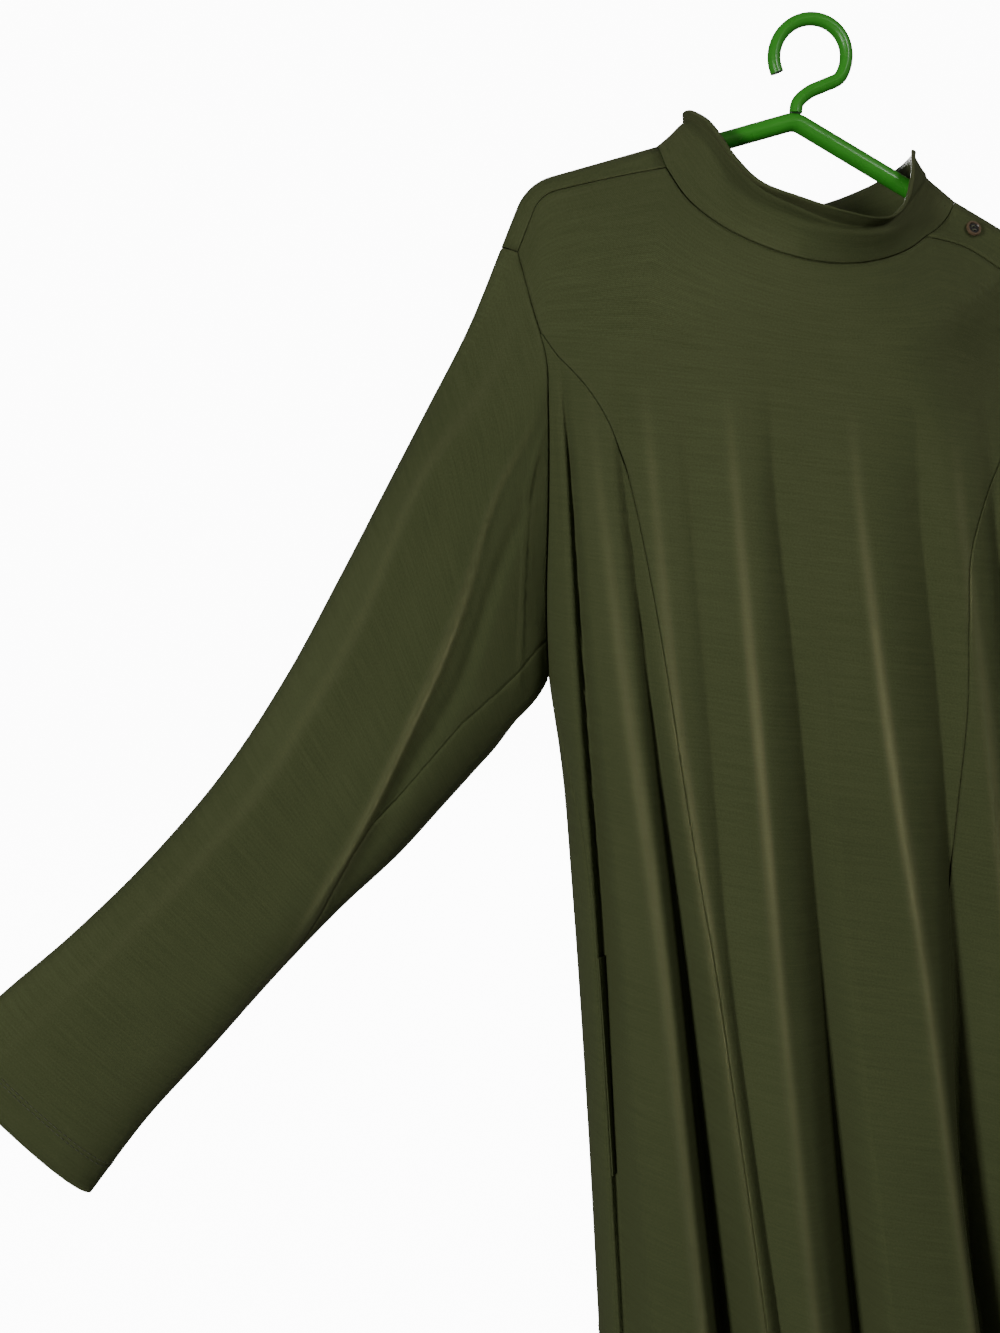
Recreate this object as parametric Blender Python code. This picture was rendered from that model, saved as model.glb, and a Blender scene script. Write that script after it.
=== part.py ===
"""An olive knit tunic with a mock neck, hanging on a plastic hanger.

The origin is where the hanger's hook bears on its rail. +X is the wearer's left, -Y the front,
+Z up. Every size below is in millimetres; "drop" is the distance below the bearing and "fall" is
the drop measured along the cloth's own slanted rows, because the garment hangs askew.
"""

import math
from collections import namedtuple

import bpy
import mathutils
import numpy as np

MM = 0.001

# Hanger
TILT = math.radians(12.5)
ARM_SLOPE = math.radians(22.5)
ARM_APEX_DROP = 56.0
ARM_LENGTH = 152.0
CORNER_RADIUS = 23.4
APEX_RADIUS = 12.0
TUBE_RADIUS = 5.5
HOOK_RADIUS = 4.0
HOOK_BEND = 22.0
HOOK_FOOT_DROP = 51.15

# Cloth over the hanger: the ridge is the outer line along the top of the shoulders
CAP = 7.6
RIDGE_APEX_DROP = ARM_APEX_DROP - CAP / math.cos(ARM_SLOPE)
RIDGE_STRAIGHT = ARM_LENGTH + CAP * math.tan(ARM_SLOPE)
RIDGE_TURN_RADIUS = CORNER_RADIUS + CAP
RIDGE_END_ANGLE = math.radians(75.0)
RIDGE_TAIL = {-1: 25.5, 1: 35.0}

# Garment
SLANT = math.tan(TILT)
MIDDLE = -32.0
TIP_FALL = 208.0
UNDERARM_FALL = 424.0
HEM_FALL = 890.0
SPREAD = 110.0
SPREAD_POWER = 1.3
ACROSS_POWER = 2.6
DEPTH_POWER = 2.0
FOLD_START_FALL = 185.0
WALL = 1.2
COLLAR_WALL = 1.6
SEAM_PULL = 0.2
SLEEVE_PULL = 0.35
UNDERARM_PULL = 0.9
POCKET_TOP_FALL = 596.0
POCKET_END_FALL = 742.0
POCKET_GAP = 2.2

# Mesh cells
SHOULDER_CELLS = 8
SHOULDER_STOPS = (0, 3, 7, 8)
NECK_CELLS = 16
SIDE_CELLS = 8
TOP_CELLS = 4
HEM_CELLS = 12
COLLAR_CELLS = 3
CAP_ANGLES = (90.0, 45.0, 0.0, -45.0, -90.0)
ARM_FALLS = (208.0, 222.0, 245.0, 275.0, 310.0, 350.0, 388.0, 424.0)

Girth = namedtuple("Girth", "fall half_width front back")
GIRTHS = (
    Girth(100, 162.0, 62.0, 44.0),
    Girth(250, 161.0, 64.0, 46.0),
    Girth(424, 160.5, 65.0, 47.0),
    Girth(480, 157.5, 66.0, 48.0),
    Girth(560, 158.0, 68.0, 50.0),
    Girth(710, 161.5, 70.0, 53.0),
    Girth(890, 168.0, 74.0, 57.0),
)

# One row for each fold line: where it lies across, and how far it stands out, at five falls
FOLD_FALLS = (290.0, 430.0, 570.0, 710.0, 890.0)
Fold = namedtuple("Fold", "name across out")
FRONT_FOLDS = (
    Fold("side ridge", (-176, -183, -184, -187, -193), (3, 5, 6, 5, 5)),
    Fold("side valley", (-169, -172, -174, -179, -185), (-6, -11, -15, -12, -10)),
    Fold("side panel edge", (-163, -163, -162, -163, -164), (3, 5, 6, 6, 7)),
    Fold("side panel ridge", (-154, -149, -142, -139, -135), (4, 7, 9, 10, 12)),
    Fold("first valley", (-139, -134, -129, -126, -122), (-3, -6, -13, -21, -26)),
    Fold("seam ridge", (-123, -121, -112, -104, -95), (3, 4, 7, 9, 12)),
    Fold("seam step", (-102, -101, -101, -95, -84), (0, 0, 2, 3, 4)),
    Fold("middle ridge", (-76, -75, -74, -71, -66), (3, 6, 9, 12, 14)),
    Fold("middle valley", (-52, -46, -44, -41, -36), (-3, -6, -12, -20, -26)),
    Fold("centre swell", (-34, -27, -25, -21, -14), (1, 2, 5, 8, 10)),
    Fold("centre ridge", (-5, 3, 14, 22, 34), (3, 6, 9, 12, 14)),
    Fold("far valley", (33, 39, 39, 36, 50), (-3, -6, -14, -23, -28)),
    Fold("far ridge", (56, 66, 70, 74, 86), (4, 6, 8, 10, 12)),
    Fold("far side valley", (80, 88, 92, 96, 106), (-3, -6, -12, -16, -18)),
    Fold("far side ridge", (99, 105, 110, 114, 121), (3, 5, 7, 8, 8)),
)
BACK_FOLDS = (
    Fold("side ridge", (-160, -163, -164, -168, -172), (2, 4, 6, 7, 8)),
    Fold("first valley", (-140, -142, -143, -144, -146), (-2, -5, -9, -13, -16)),
    Fold("first ridge", (-112, -112, -110, -112, -114), (3, 6, 9, 11, 13)),
    Fold("second valley", (-84, -86, -88, -88, -90), (-2, -4, -9, -14, -18)),
    Fold("second ridge", (-52, -54, -58, -60, -62), (3, 5, 8, 10, 12)),
    Fold("middle valley", (-22, -24, -28, -32, -34), (-2, -5, -10, -16, -20)),
    Fold("middle ridge", (8, 6, 4, 0, -2), (3, 6, 9, 11, 13)),
    Fold("third valley", (40, 38, 36, 32, 30), (-2, -5, -11, -15, -19)),
    Fold("third ridge", (68, 70, 70, 68, 68), (3, 5, 8, 10, 12)),
    Fold("far valley", (92, 94, 96, 98, 100), (-2, -5, -9, -12, -14)),
    Fold("far ridge", (109, 112, 114, 117, 121), (2, 4, 6, 7, 8)),
)

# How far the armhole's edge lies inside the line from the sleeve's apex to the underarm
ArmholeRow = namedtuple("ArmholeRow", "share front back")
ARMHOLE_ROWS = (
    ArmholeRow(0.00, 9.5, 6.0),
    ArmholeRow(0.13, 14.0, 9.5),
    ArmholeRow(0.25, 19.0, 12.0),
    ArmholeRow(0.36, 16.9, 12.0),
    ArmholeRow(0.58, 10.8, 9.0),
    ArmholeRow(0.80, 3.6, 3.6),
    ArmholeRow(0.92, 1.0, 1.0),
    ArmholeRow(1.00, 0.0, 0.0),
)

Seam = namedtuple("Seam", "fall right left")
PRINCESS_ROWS = (
    Seam(208, -178.6, 114.6),
    Seam(222, -170.0, 106.5),
    Seam(232, -161.0, 98.0),
    Seam(257, -145.5, 84.0),
    Seam(280, -138.5, 72.0),
    Seam(304, -134.5, 62.5),
    Seam(350, -129.0, 57.0),
    Seam(400, -124.5, 53.5),
    Seam(467, -120.0, 45.0),
    Seam(523, -116.0, 38.0),
    Seam(583, -110.5, 33.0),
    Seam(640, -107.0, 29.0),
    Seam(710, -103.0, 27.5),
    Seam(890, -94.0, 36.0),
)
SIDE_SEAM_FALLS = (424.0, 470.0, 520.0, 560.0, 890.0)
SIDE_SEAM_INSET = (0.0, 2.5, 8.0, 10.5, 11.0)

# Forward shoulder seam: distance from the ridge, by share of the way from neck to sleeve
SEAM_SHARES = (0.0, 0.15, 0.5, 1.0)
SEAM_DISTANCE = {-1: (15.5, 13.5, 10.5, 10.5), 1: (33.0, 26.0, 24.0, 12.0)}
NECK_ALONG = {-1: 88.5, 1: 112.5}

NeckPoint = namedtuple("NeckPoint", "across drop")
FRONT_NECK = (
    NeckPoint(-86.0, 99.0),
    NeckPoint(-67.0, 121.0),
    NeckPoint(-49.0, 133.5),
    NeckPoint(-30.0, 142.5),
    NeckPoint(-4.0, 148.3),
    NeckPoint(18.5, 147.8),
    NeckPoint(42.0, 141.5),
)
BACK_NECK = (
    NeckPoint(-90.0, 84.0),
    NeckPoint(-70.0, 103.0),
    NeckPoint(-40.0, 117.0),
    NeckPoint(-8.0, 125.0),
    NeckPoint(25.0, 129.0),
    NeckPoint(55.0, 127.5),
)

# The collar's top edge, by share of the way round from the wearer's right shoulder over the front
Rim = namedtuple("Rim", "share across drop depth")
RIM_ROWS = (
    Rim(0.000, -69.0, 52.0, -16.0),
    Rim(0.070, -57.0, 82.0, -42.0),
    Rim(0.125, -48.0, 99.0, -60.0),
    Rim(0.190, -28.0, 112.0, -71.0),
    Rim(0.265, -3.5, 123.0, -75.0),
    Rim(0.315, 15.0, 127.0, -69.0),
    Rim(0.360, 30.0, 124.0, -57.0),
    Rim(0.400, 43.0, 112.0, -39.0),
    Rim(0.445, 53.0, 93.0, -18.0),
    Rim(0.490, 60.0, 79.0, 4.0),
    Rim(0.540, 66.0, 77.0, 24.0),
    Rim(0.600, 62.0, 81.0, 42.0),
    Rim(0.670, 42.0, 90.0, 52.0),
    Rim(0.750, 2.0, 98.0, 57.0),
    Rim(0.830, -38.0, 90.0, 52.0),
    Rim(0.900, -66.0, 66.0, 34.0),
    Rim(0.955, -77.0, 42.0, 8.0),
)
COLLAR_BULGE = 3.0

# The wearer's right sleeve; the other is its mirror image, swung closer to the body
Section = namedtuple("Section", "upper_across upper_drop lower_across lower_drop front back")
SLEEVE_SECTIONS = (
    Section(-222.0, 159.0, -203.0, 396.0, 31.0, 26.0),
    Section(-252.0, 205.0, -220.0, 413.0, 35.0, 28.0),
    Section(-283.0, 252.0, -240.0, 431.0, 36.0, 29.0),
    Section(-318.0, 305.0, -267.0, 456.0, 34.0, 28.0),
    Section(-357.0, 362.0, -300.0, 486.0, 31.0, 26.0),
    Section(-403.0, 418.7, -340.0, 517.0, 28.0, 23.0),
    Section(-457.0, 471.0, -386.0, 557.0, 25.0, 21.0),
    Section(-513.0, 516.0, -434.0, 602.0, 22.0, 19.0),
    Section(-563.0, 551.0, -481.0, 645.0, 20.0, 17.0),
    Section(-610.0, 586.4, -524.0, 692.0, 18.0, 15.0),
)
SLEEVE_HEAD_DEPTHS = (26.0, 22.0)
SLEEVE_ROWS = 16
SLEEVE_BLEND = 0.28
SLEEVE_POWER = 0.86
LEFT_SLEEVE_SWING = math.radians(8.0)

# The button on the wearer's left shoulder strip
BUTTON_ACROSS = 88.0
BUTTON_DROP = 131.0
BUTTON_RADIUS = 5.0
BUTTON_THICKNESS = 2.2
BUTTON_DISH_RADIUS = 3.6
BUTTON_DISH_DEPTH = 0.6
BUTTON_HOLE_RADIUS = 0.7
BUTTON_HOLE_SPACING = 2.4
BUTTON_SEAT = 0.78

OLIVE = (0.045, 0.049, 0.021)
GREEN = (0.049, 0.206, 0.026)
HORN = (0.030, 0.017, 0.009)


def material(name, colour, roughness):
    """A plain Principled material."""
    made = bpy.data.materials.new(name)
    made.use_nodes = True
    shader = made.node_tree.nodes["Principled BSDF"]
    shader.inputs["Base Color"].default_value = (*colour, 1.0)
    shader.inputs["Roughness"].default_value = roughness
    shader.inputs["Metallic"].default_value = 0.0
    made.diffuse_color = (*colour, 1.0)
    return made


def smooth_curve(shares, values, at):
    """A smooth curve through the values at the given shares (Catmull-Rom on uneven steps)."""
    shares = np.asarray(shares, float)
    values = np.asarray(values, float)
    slopes = np.gradient(values, shares, axis=0)
    at = np.clip(np.asarray(at, float), shares[0], shares[-1])
    cell = np.clip(np.searchsorted(shares, at, side="right") - 1, 0, len(shares) - 2)
    width = shares[cell + 1] - shares[cell]
    t = (at - shares[cell]) / width
    if values.ndim > 1:
        t = t[..., None]
        width = width[..., None]
    start, end = values[cell], values[cell + 1]
    return (
        start * (1 + 2 * t) * (1 - t) ** 2
        + end * (3 - 2 * t) * t**2
        + slopes[cell] * width * t * (1 - t) ** 2
        - slopes[cell + 1] * width * t**2 * (1 - t)
    )


def along_path(points, cells):
    """Points at even distances along a smooth curve through the given points."""
    points = np.asarray(points, float)
    lengths = np.r_[0, np.cumsum(np.linalg.norm(np.diff(points, axis=0), axis=1))]
    fine = smooth_curve(lengths, points, np.linspace(0, lengths[-1], 40 * len(points)))
    run = np.r_[0, np.cumsum(np.linalg.norm(np.diff(fine, axis=0), axis=1))]
    even = np.linspace(0, run[-1], cells + 1)
    return np.stack([np.interp(even, run, fine[:, i]) for i in range(points.shape[1])], 1)


def tilted(across, drop):
    """A point of the hanger's own plane, turned to the pose it hangs in."""
    return np.array([
        across * math.cos(TILT) - drop * math.sin(TILT),
        across * math.sin(TILT) + drop * math.cos(TILT),
    ])


def ridge_at(side, along):
    """The ridge's point and its direction into the cloth, at a length from the apex."""
    turn = RIDGE_END_ANGLE - ARM_SLOPE
    arc = RIDGE_TURN_RADIUS * turn
    straight = min(along, RIDGE_STRAIGHT)
    bend = min(max(along - RIDGE_STRAIGHT, 0), arc)
    tail = max(along - RIDGE_STRAIGHT - arc, 0)
    angle = ARM_SLOPE + bend / RIDGE_TURN_RADIUS
    across = (
        straight * math.cos(ARM_SLOPE)
        + RIDGE_TURN_RADIUS * (math.sin(angle) - math.sin(ARM_SLOPE))
        + tail * math.cos(angle)
    )
    drop = (
        RIDGE_APEX_DROP
        + straight * math.sin(ARM_SLOPE)
        + RIDGE_TURN_RADIUS * (math.cos(ARM_SLOPE) - math.cos(angle))
        + tail * math.sin(angle)
    )
    inward = tilted(-side * math.sin(angle), math.cos(angle))
    return tilted(side * across, drop), inward


def ridge_length(side):
    """The length of one shoulder's ridge, from the apex to the sleeve."""
    return RIDGE_STRAIGHT + RIDGE_TURN_RADIUS * (RIDGE_END_ANGLE - ARM_SLOPE) + RIDGE_TAIL[side]


def ridge_line():
    """The whole ridge as a fine line, from the wearer's right to the left."""
    right = [ridge_at(-1, a)[0] for a in np.linspace(ridge_length(-1), 0, 70)]
    left = [ridge_at(1, a)[0] for a in np.linspace(0, ridge_length(1), 70)]
    return np.array(right + left[1:])


RIDGE = ridge_line()


def below_ridge(across, drop):
    """The shortest distance from points to the ridge."""
    points = np.stack([across, drop], -1)[..., None, :]
    start = RIDGE[:-1]
    step = RIDGE[1:] - start
    share = np.clip(((points - start) * step).sum(-1) / (step**2).sum(-1), 0, 1)
    nearest = start + share[..., None] * step
    return np.linalg.norm(points - nearest, axis=-1).min(-1)


def girth(fall):
    """Half-width, front depth and back depth of the body at a fall."""
    table = np.array(GIRTHS)
    return smooth_curve(table[:, 0], table[:, 1:], fall)


def fold_out(folds, across, fall):
    """How far the folds stand out at a point: a smooth wave through the fold lines."""
    falls = np.array(FOLD_FALLS)
    at = np.clip(fall, falls[0], falls[-1])
    lines = np.array([smooth_curve(falls, fold.across, at) for fold in folds])
    outs = np.array([smooth_curve(falls, fold.out, at) for fold in folds])
    fade = np.clip((fall - FOLD_START_FALL) / (falls[0] - FOLD_START_FALL), 0, 1) ** 2
    out = np.zeros_like(across)
    for i in range(len(folds) - 1):
        share = (across - lines[i]) / (lines[i + 1] - lines[i])
        wave = (1 - np.cos(math.pi * np.clip(share, 0, 1))) / 2
        inside = (share >= 0) & (share <= 1)
        out = np.where(inside, outs[i] + (outs[i + 1] - outs[i]) * wave, out)
    out = np.where(across < lines[0], outs[0], out)
    out = np.where(across > lines[-1], outs[-1], out)
    return out * fade


def half_depth(across, fall, front):
    """How far the cloth stands in front of, or behind, the hanger's plane."""
    across, fall = np.broadcast_arrays(np.asarray(across, float), np.asarray(fall, float))
    below = below_ridge(across, fall + SLANT * across)
    size = girth(fall)
    place = np.clip(np.abs(across - MIDDLE) / size[..., 0], 0, 1)
    depth = size[..., 1] if front else size[..., 2]
    round_side = (1 - place**ACROSS_POWER) ** (1 / DEPTH_POWER)
    folds = fold_out(FRONT_FOLDS if front else BACK_FOLDS, across, fall)
    full = depth * round_side + folds * (1 - place**14)
    cap = CAP * np.sqrt(1 - (1 - np.clip(below / CAP, 0, 1)) ** 2)
    reach = np.clip(below / SPREAD, 0, 1)
    spread = reach**SPREAD_POWER * (SPREAD_POWER + 1 - SPREAD_POWER * reach)
    return cap * (1 - spread) + np.maximum(full, 0) * spread


def cloth_point(across, drop, front):
    """A point of the body's outer surface, x y z, from its place seen from the front."""
    across = np.asarray(across, float)
    drop = np.asarray(drop, float)
    depth = half_depth(across, drop - SLANT * across, front)
    return np.stack([across, -depth if front else depth, -drop], -1)


def place_of(turn):
    """Place across a face, -1 to 1, for an even turn from -1 to 1: closer steps at the sides."""
    return turn * (1.125 - 0.125 * np.abs(turn) ** 8)


def turn_of(across, fall):
    """The turn that gives a point's place across at a fall."""
    turns = np.linspace(-1, 1, 401)
    place = (across - MIDDLE) / girth(fall)[..., 0]
    return np.interp(place, place_of(turns), turns)


def loop_point(turn, fall):
    """A point round the body at a fall: turns -1 to 1 cross the front, 1 to 3 the back."""
    turn = (np.asarray(turn, float) + 1) % 4 - 1
    fall = np.broadcast_to(np.asarray(fall, float), turn.shape)
    front = turn <= 1
    place = place_of(np.where(front, turn, 2 - turn))
    across = MIDDLE + place * girth(fall)[..., 0]
    drop = fall + SLANT * across
    return np.where(
        front[..., None], cloth_point(across, drop, True), cloth_point(across, drop, False)
    )


def tip_and_underarm(side):
    """The sleeve's apex and the underarm, as place across and fall."""
    apex = ridge_at(side, ridge_length(side))[0]
    width = girth(np.array(UNDERARM_FALL))[0]
    return (
        np.array([apex[0], apex[1] - SLANT * apex[0]]),
        np.array([MIDDLE + side * width, UNDERARM_FALL]),
    )


def armhole_across(side, fall, front):
    """Where the armhole's edge lies across, at a fall."""
    tip, underarm = tip_and_underarm(side)
    share = np.clip((fall - tip[1]) / (underarm[1] - tip[1]), 0, 1)
    table = np.array(ARMHOLE_ROWS)
    inset = smooth_curve(table[:, 0], table[:, 1 if front else 2], share)
    return tip[0] + (underarm[0] - tip[0]) * share - side * inset


def princess_across(side, fall):
    """Where a princess seam lies across, at a fall."""
    table = np.array(PRINCESS_ROWS)
    return smooth_curve(table[:, 0], table[:, 1 if side < 0 else 2], fall)


def side_turn(side, fall):
    """The turn of the side seam, which swings a little to the front below the underarm."""
    inset = np.interp(fall, SIDE_SEAM_FALLS, SIDE_SEAM_INSET)
    width = girth(fall)[..., 0]
    return turn_of(MIDDLE + side * (width - inset), fall)


def shoulder_columns(side):
    """For each shoulder column from neck to sleeve: ridge point, inward direction, seam distance."""
    start, end = NECK_ALONG[side], ridge_length(side)
    bend_end = end - RIDGE_TAIL[side]
    stops = (start, RIDGE_STRAIGHT, bend_end, end)
    rows = []
    for along in np.interp(np.arange(SHOULDER_CELLS + 1), SHOULDER_STOPS, stops):
        point, inward = ridge_at(side, along)
        share = (along - start) / (end - start)
        rows.append((point, inward, float(smooth_curve(SEAM_SHARES, SEAM_DISTANCE[side], share))))
    return rows


def seam_points(side):
    """The forward shoulder seam, as places across and drops, from neck to sleeve."""
    return np.array([point + inward * far for point, inward, far in shoulder_columns(side)])


def behind_points(side):
    """Where the cloth leaves the hanger behind the shoulder, from neck to sleeve."""
    return np.array([point + inward * CAP for point, inward, _ in shoulder_columns(side)])


def fill_between(top, low, left, right):
    """A patch between four edges given as places across and drops."""
    rows, columns = len(left), len(top)
    down = np.linspace(0, 1, rows)[:, None, None]
    along = np.linspace(0, 1, columns)[None, :, None]
    patch = top[None] * (1 - down) + low[None] * down
    patch = patch + (left[:, None] - patch[:, :1]) * (1 - along) ** 2
    return patch + (right[:, None] - patch[:, -1:]) * along**2


def armhole_edge(side, start, front):
    """The armhole's edge from a start point down to the tip's fall, as places and drops."""
    falls = np.linspace(start[1] - SLANT * start[0], TIP_FALL, TOP_CELLS + 1)
    shift = start[0] - armhole_across(side, falls[0], front)
    fade = (1 - np.linspace(0, 1, TOP_CELLS + 1)) ** 2
    across = armhole_across(side, falls, front) + shift * fade
    return np.stack([across, falls + SLANT * across], 1)


def top_patch(front):
    """The cloth from shoulder seams and neck down to the tip's fall, for the front or the back."""
    if front:
        right, left = seam_points(-1)[::-1], seam_points(1)
        neck = along_path([right[-1], *FRONT_NECK, left[0]], NECK_CELLS)
    else:
        right, left = behind_points(-1)[::-1], behind_points(1)
        neck = along_path([right[-1], *BACK_NECK, left[0]], NECK_CELLS)
    top = np.concatenate([right[:-1], neck, left[1:]])
    edges = [
        armhole_edge(-1, top[0], front),
        armhole_edge(1, top[-1], front),
    ]
    turns = np.linspace(
        turn_of(edges[0][-1, 0], np.array(TIP_FALL)),
        turn_of(edges[1][-1, 0], np.array(TIP_FALL)),
        len(top),
    )
    across = MIDDLE + place_of(turns) * girth(np.array(TIP_FALL))[0]
    low = np.stack([across, TIP_FALL + SLANT * across], 1)
    patch = fill_between(top, low, edges[0], edges[1])
    return cloth_point(patch[..., 0], patch[..., 1], front)


def lower_falls():
    """The rows' falls from the tip to the hem."""
    return np.r_[ARM_FALLS, np.linspace(UNDERARM_FALL, HEM_FALL, HEM_CELLS + 1)[1:]]


def front_edge_turn(side, fall):
    """The outer edge of a side panel: the armhole, then the side seam."""
    armhole = turn_of(armhole_across(side, fall, True), fall)
    return np.where(fall < UNDERARM_FALL, armhole, side_turn(side, fall))


def back_edge_turn(side, fall):
    """The outer edge of the back: the armhole, then the side seam, as a turn round the back."""
    armhole = 2 - turn_of(armhole_across(side, fall, False), fall)
    seam = side_turn(side, fall) + (4 if side < 0 else 0)
    return np.where(fall < UNDERARM_FALL, armhole, seam)


def rows_between(first, last, cells):
    """Loop points between two edges given as turns, one row for each lower fall."""
    share = np.linspace(0, 1, cells + 1)
    falls = lower_falls()
    return np.array([
        loop_point(start + (end - start) * share, fall)
        for start, end, fall in zip(first, last, falls)
    ])


def front_centre():
    """The centre front's grid of points."""
    falls = lower_falls()
    first = turn_of(princess_across(-1, falls), falls)
    last = turn_of(princess_across(1, falls), falls)
    first[0] = turn_of(armhole_across(-1, falls[:1], True), falls[:1])[0]
    last[0] = turn_of(armhole_across(1, falls[:1], True), falls[:1])[0]
    lower = rows_between(first, last, 2 * SHOULDER_CELLS + NECK_CELLS)
    return np.concatenate([top_patch(True)[:-1], lower])


def front_side(side):
    """A side front's grid of points, from its seam with the centre front outwards."""
    falls = lower_falls()
    seam = turn_of(princess_across(side, falls), falls)
    edge = front_edge_turn(side, falls)
    seam[0] = edge[0]
    if side < 0:
        return rows_between(edge, seam, SIDE_CELLS)
    return rows_between(seam, edge, SIDE_CELLS)


def shoulder_wrap(side):
    """The back's strip over one shoulder, from the forward seam to behind the hanger."""
    columns = []
    for point, inward, far in shoulder_columns(side):
        seam = point + inward * far
        column = [cloth_point(*seam, True)]
        for angle in CAP_ANGLES:
            reach = CAP * (1 - math.cos(math.radians(angle)))
            column.append(cloth_point(*(point + inward * reach), angle > 0))
        columns.append(column)
    grid = np.array(columns).transpose(1, 0, 2)
    return grid[:, ::-1] if side < 0 else grid


def back_body():
    """The back's grid of points below the shoulders and the neck."""
    falls = lower_falls()
    cells = 2 * SHOULDER_CELLS + NECK_CELLS
    lower = rows_between(back_edge_turn(-1, falls), back_edge_turn(1, falls), cells)
    return np.concatenate([top_patch(False)[:-1], lower])


def armhole_ring(side):
    """The armhole's points, from the forward seam down the front, and up the back to it."""
    outer = 0 if side < 0 else -1
    arm_rows = len(ARM_FALLS)
    front = front_centre()[: TOP_CELLS + 1, outer]
    front_low = front_side(side)[1:arm_rows, outer]
    back = back_body()[: TOP_CELLS + arm_rows - 1, outer]
    wrap = shoulder_wrap(side)[1:, outer]
    return np.concatenate([front, front_low, back[::-1], wrap[-2::-1]])


def ring_angles(ring):
    """The angle of each armhole point, from the apex over the front to the underarm and back."""
    top = int(np.argmax(ring[:, 2]))
    low = int(np.argmin(ring[:, 2]))
    order = np.roll(np.arange(len(ring)), -top)
    low_at = int(np.where(order == low)[0][0])
    ordered = ring[order]
    steps = np.linalg.norm(np.roll(ordered, -1, 0) - ordered, axis=1)
    run = np.r_[0, np.cumsum(steps)]
    half, whole = run[low_at], run[-1]
    angle = np.where(
        np.arange(len(ring)) <= low_at,
        math.pi * run[:-1] / half,
        math.pi * (1 + (run[:-1] - half) / (whole - half)),
    )
    out = np.empty(len(ring))
    out[order] = angle
    return out


def sleeve_section(share, angles):
    """The sleeve's closed section at a share of its length, before it is mirrored."""
    table = np.array(SLEEVE_SECTIONS)
    apex, underarm = tip_and_underarm(-1)
    apex_drop = apex[1] + SLANT * apex[0]
    underarm_drop = underarm[1] + SLANT * underarm[0]
    first = [apex[0], apex_drop, underarm[0], underarm_drop, *SLEEVE_HEAD_DEPTHS]
    table = np.concatenate([[first], table])
    row = smooth_curve(np.linspace(0, 1, len(table)), table, share)
    upper, lower = row[:2], row[2:4]
    height = -np.cos(angles)
    side = np.sin(angles)
    height = np.sign(height) * np.abs(height) ** SLEEVE_POWER
    side = np.sign(side) * np.abs(side) ** SLEEVE_POWER
    flat = (upper + lower) / 2 + height[:, None] * (lower - upper) / 2
    depth = np.where(side > 0, -side * row[4], -side * row[5])
    return np.stack([flat[:, 0], depth, -flat[:, 1]], 1)


def swing(points, share, pivot):
    """Turns a section of the mirrored sleeve down, more and more over its first part."""
    start = min(share / SLEEVE_BLEND, 1)
    angle = LEFT_SLEEVE_SWING * start**2 * (3 - 2 * start)
    turned = points - pivot
    cos, sin = math.cos(angle), math.sin(angle)
    across = turned[:, 0] * cos + turned[:, 2] * sin
    up = turned[:, 2] * cos - turned[:, 0] * sin
    return pivot + np.stack([across, turned[:, 1], up], 1)


def sleeve(side):
    """A sleeve's grid: rows along it, columns round it, the first column repeated at the end."""
    ring = armhole_ring(side)
    angles = ring_angles(ring)
    apex = {s: ridge_at(s, ridge_length(s))[0] for s in (-1, 1)}
    rows = [ring]
    start = sleeve_section(0.0, angles)
    if side > 0:
        start[:, 0] = apex[1][0] + apex[-1][0] - start[:, 0]
        start[:, 2] += apex[-1][1] - apex[1][1]
    pivot = ring.mean(0)
    for share in np.linspace(0, 1, SLEEVE_ROWS + 1)[1:]:
        section = sleeve_section(share, angles)
        if side > 0:
            section[:, 0] = apex[1][0] + apex[-1][0] - section[:, 0]
            section[:, 2] += apex[-1][1] - apex[1][1]
            section = swing(section, share, pivot)
        blend = min(share / SLEEVE_BLEND, 1)
        blend = blend * blend * (3 - 2 * blend)
        rows.append(section + (ring - start) * (1 - blend))
    grid = np.array(rows)
    return np.concatenate([grid, grid[:, :1]], axis=1)


def neck_ring():
    """The neck seam's points, from the wearer's right shoulder over the front and round."""
    front = front_centre()[0, SHOULDER_CELLS : SHOULDER_CELLS + NECK_CELLS + 1]
    left = shoulder_wrap(1)[:, 0]
    back = back_body()[0, SHOULDER_CELLS : SHOULDER_CELLS + NECK_CELLS + 1][::-1]
    right = shoulder_wrap(-1)[:, -1][::-1]
    return np.concatenate([front, left[1:], back[1:], right[1:-1]])


def rim_points(shares):
    """The collar's top edge at shares of the way round."""
    table = np.array(RIM_ROWS)
    shares_round = np.r_[table[-3:, 0] - 1, table[:, 0], table[:3, 0] + 1]
    rows = np.concatenate([table[-3:], table, table[:3]])[:, 1:]
    at = smooth_curve(shares_round, rows, shares)
    return np.stack([at[:, 0], at[:, 2], -at[:, 1]], 1)


def collar():
    """The collar's grid: rows up from the neck seam, columns round it."""
    base = neck_ring()
    steps = np.linalg.norm(np.roll(base, -1, 0) - base, axis=1)
    shares = np.r_[0, np.cumsum(steps)[:-1]] / steps.sum()
    rim = rim_points(shares)
    middle = base.mean(0)
    away = base - middle
    away[:, 2] = 0
    away /= np.linalg.norm(away, axis=1)[:, None]
    rows = []
    for share in np.linspace(0, 1, COLLAR_CELLS + 1):
        bulge = COLLAR_BULGE * math.sin(math.pi * share)
        rows.append(base * (1 - share) + rim * share - away * bulge)
    grid = np.array(rows)[::-1]
    return np.concatenate([grid, grid[:, :1]], axis=1)


def faces_of(grid):
    """A grid's points and four-cornered cells."""
    rows, columns = grid.shape[:2]
    index = np.arange(rows * columns).reshape(rows, columns)
    cells = np.stack([index[:-1, :-1], index[1:, :-1], index[1:, 1:], index[:-1, 1:]], -1)
    return grid.reshape(-1, 3), cells.reshape(-1, 4)


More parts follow.
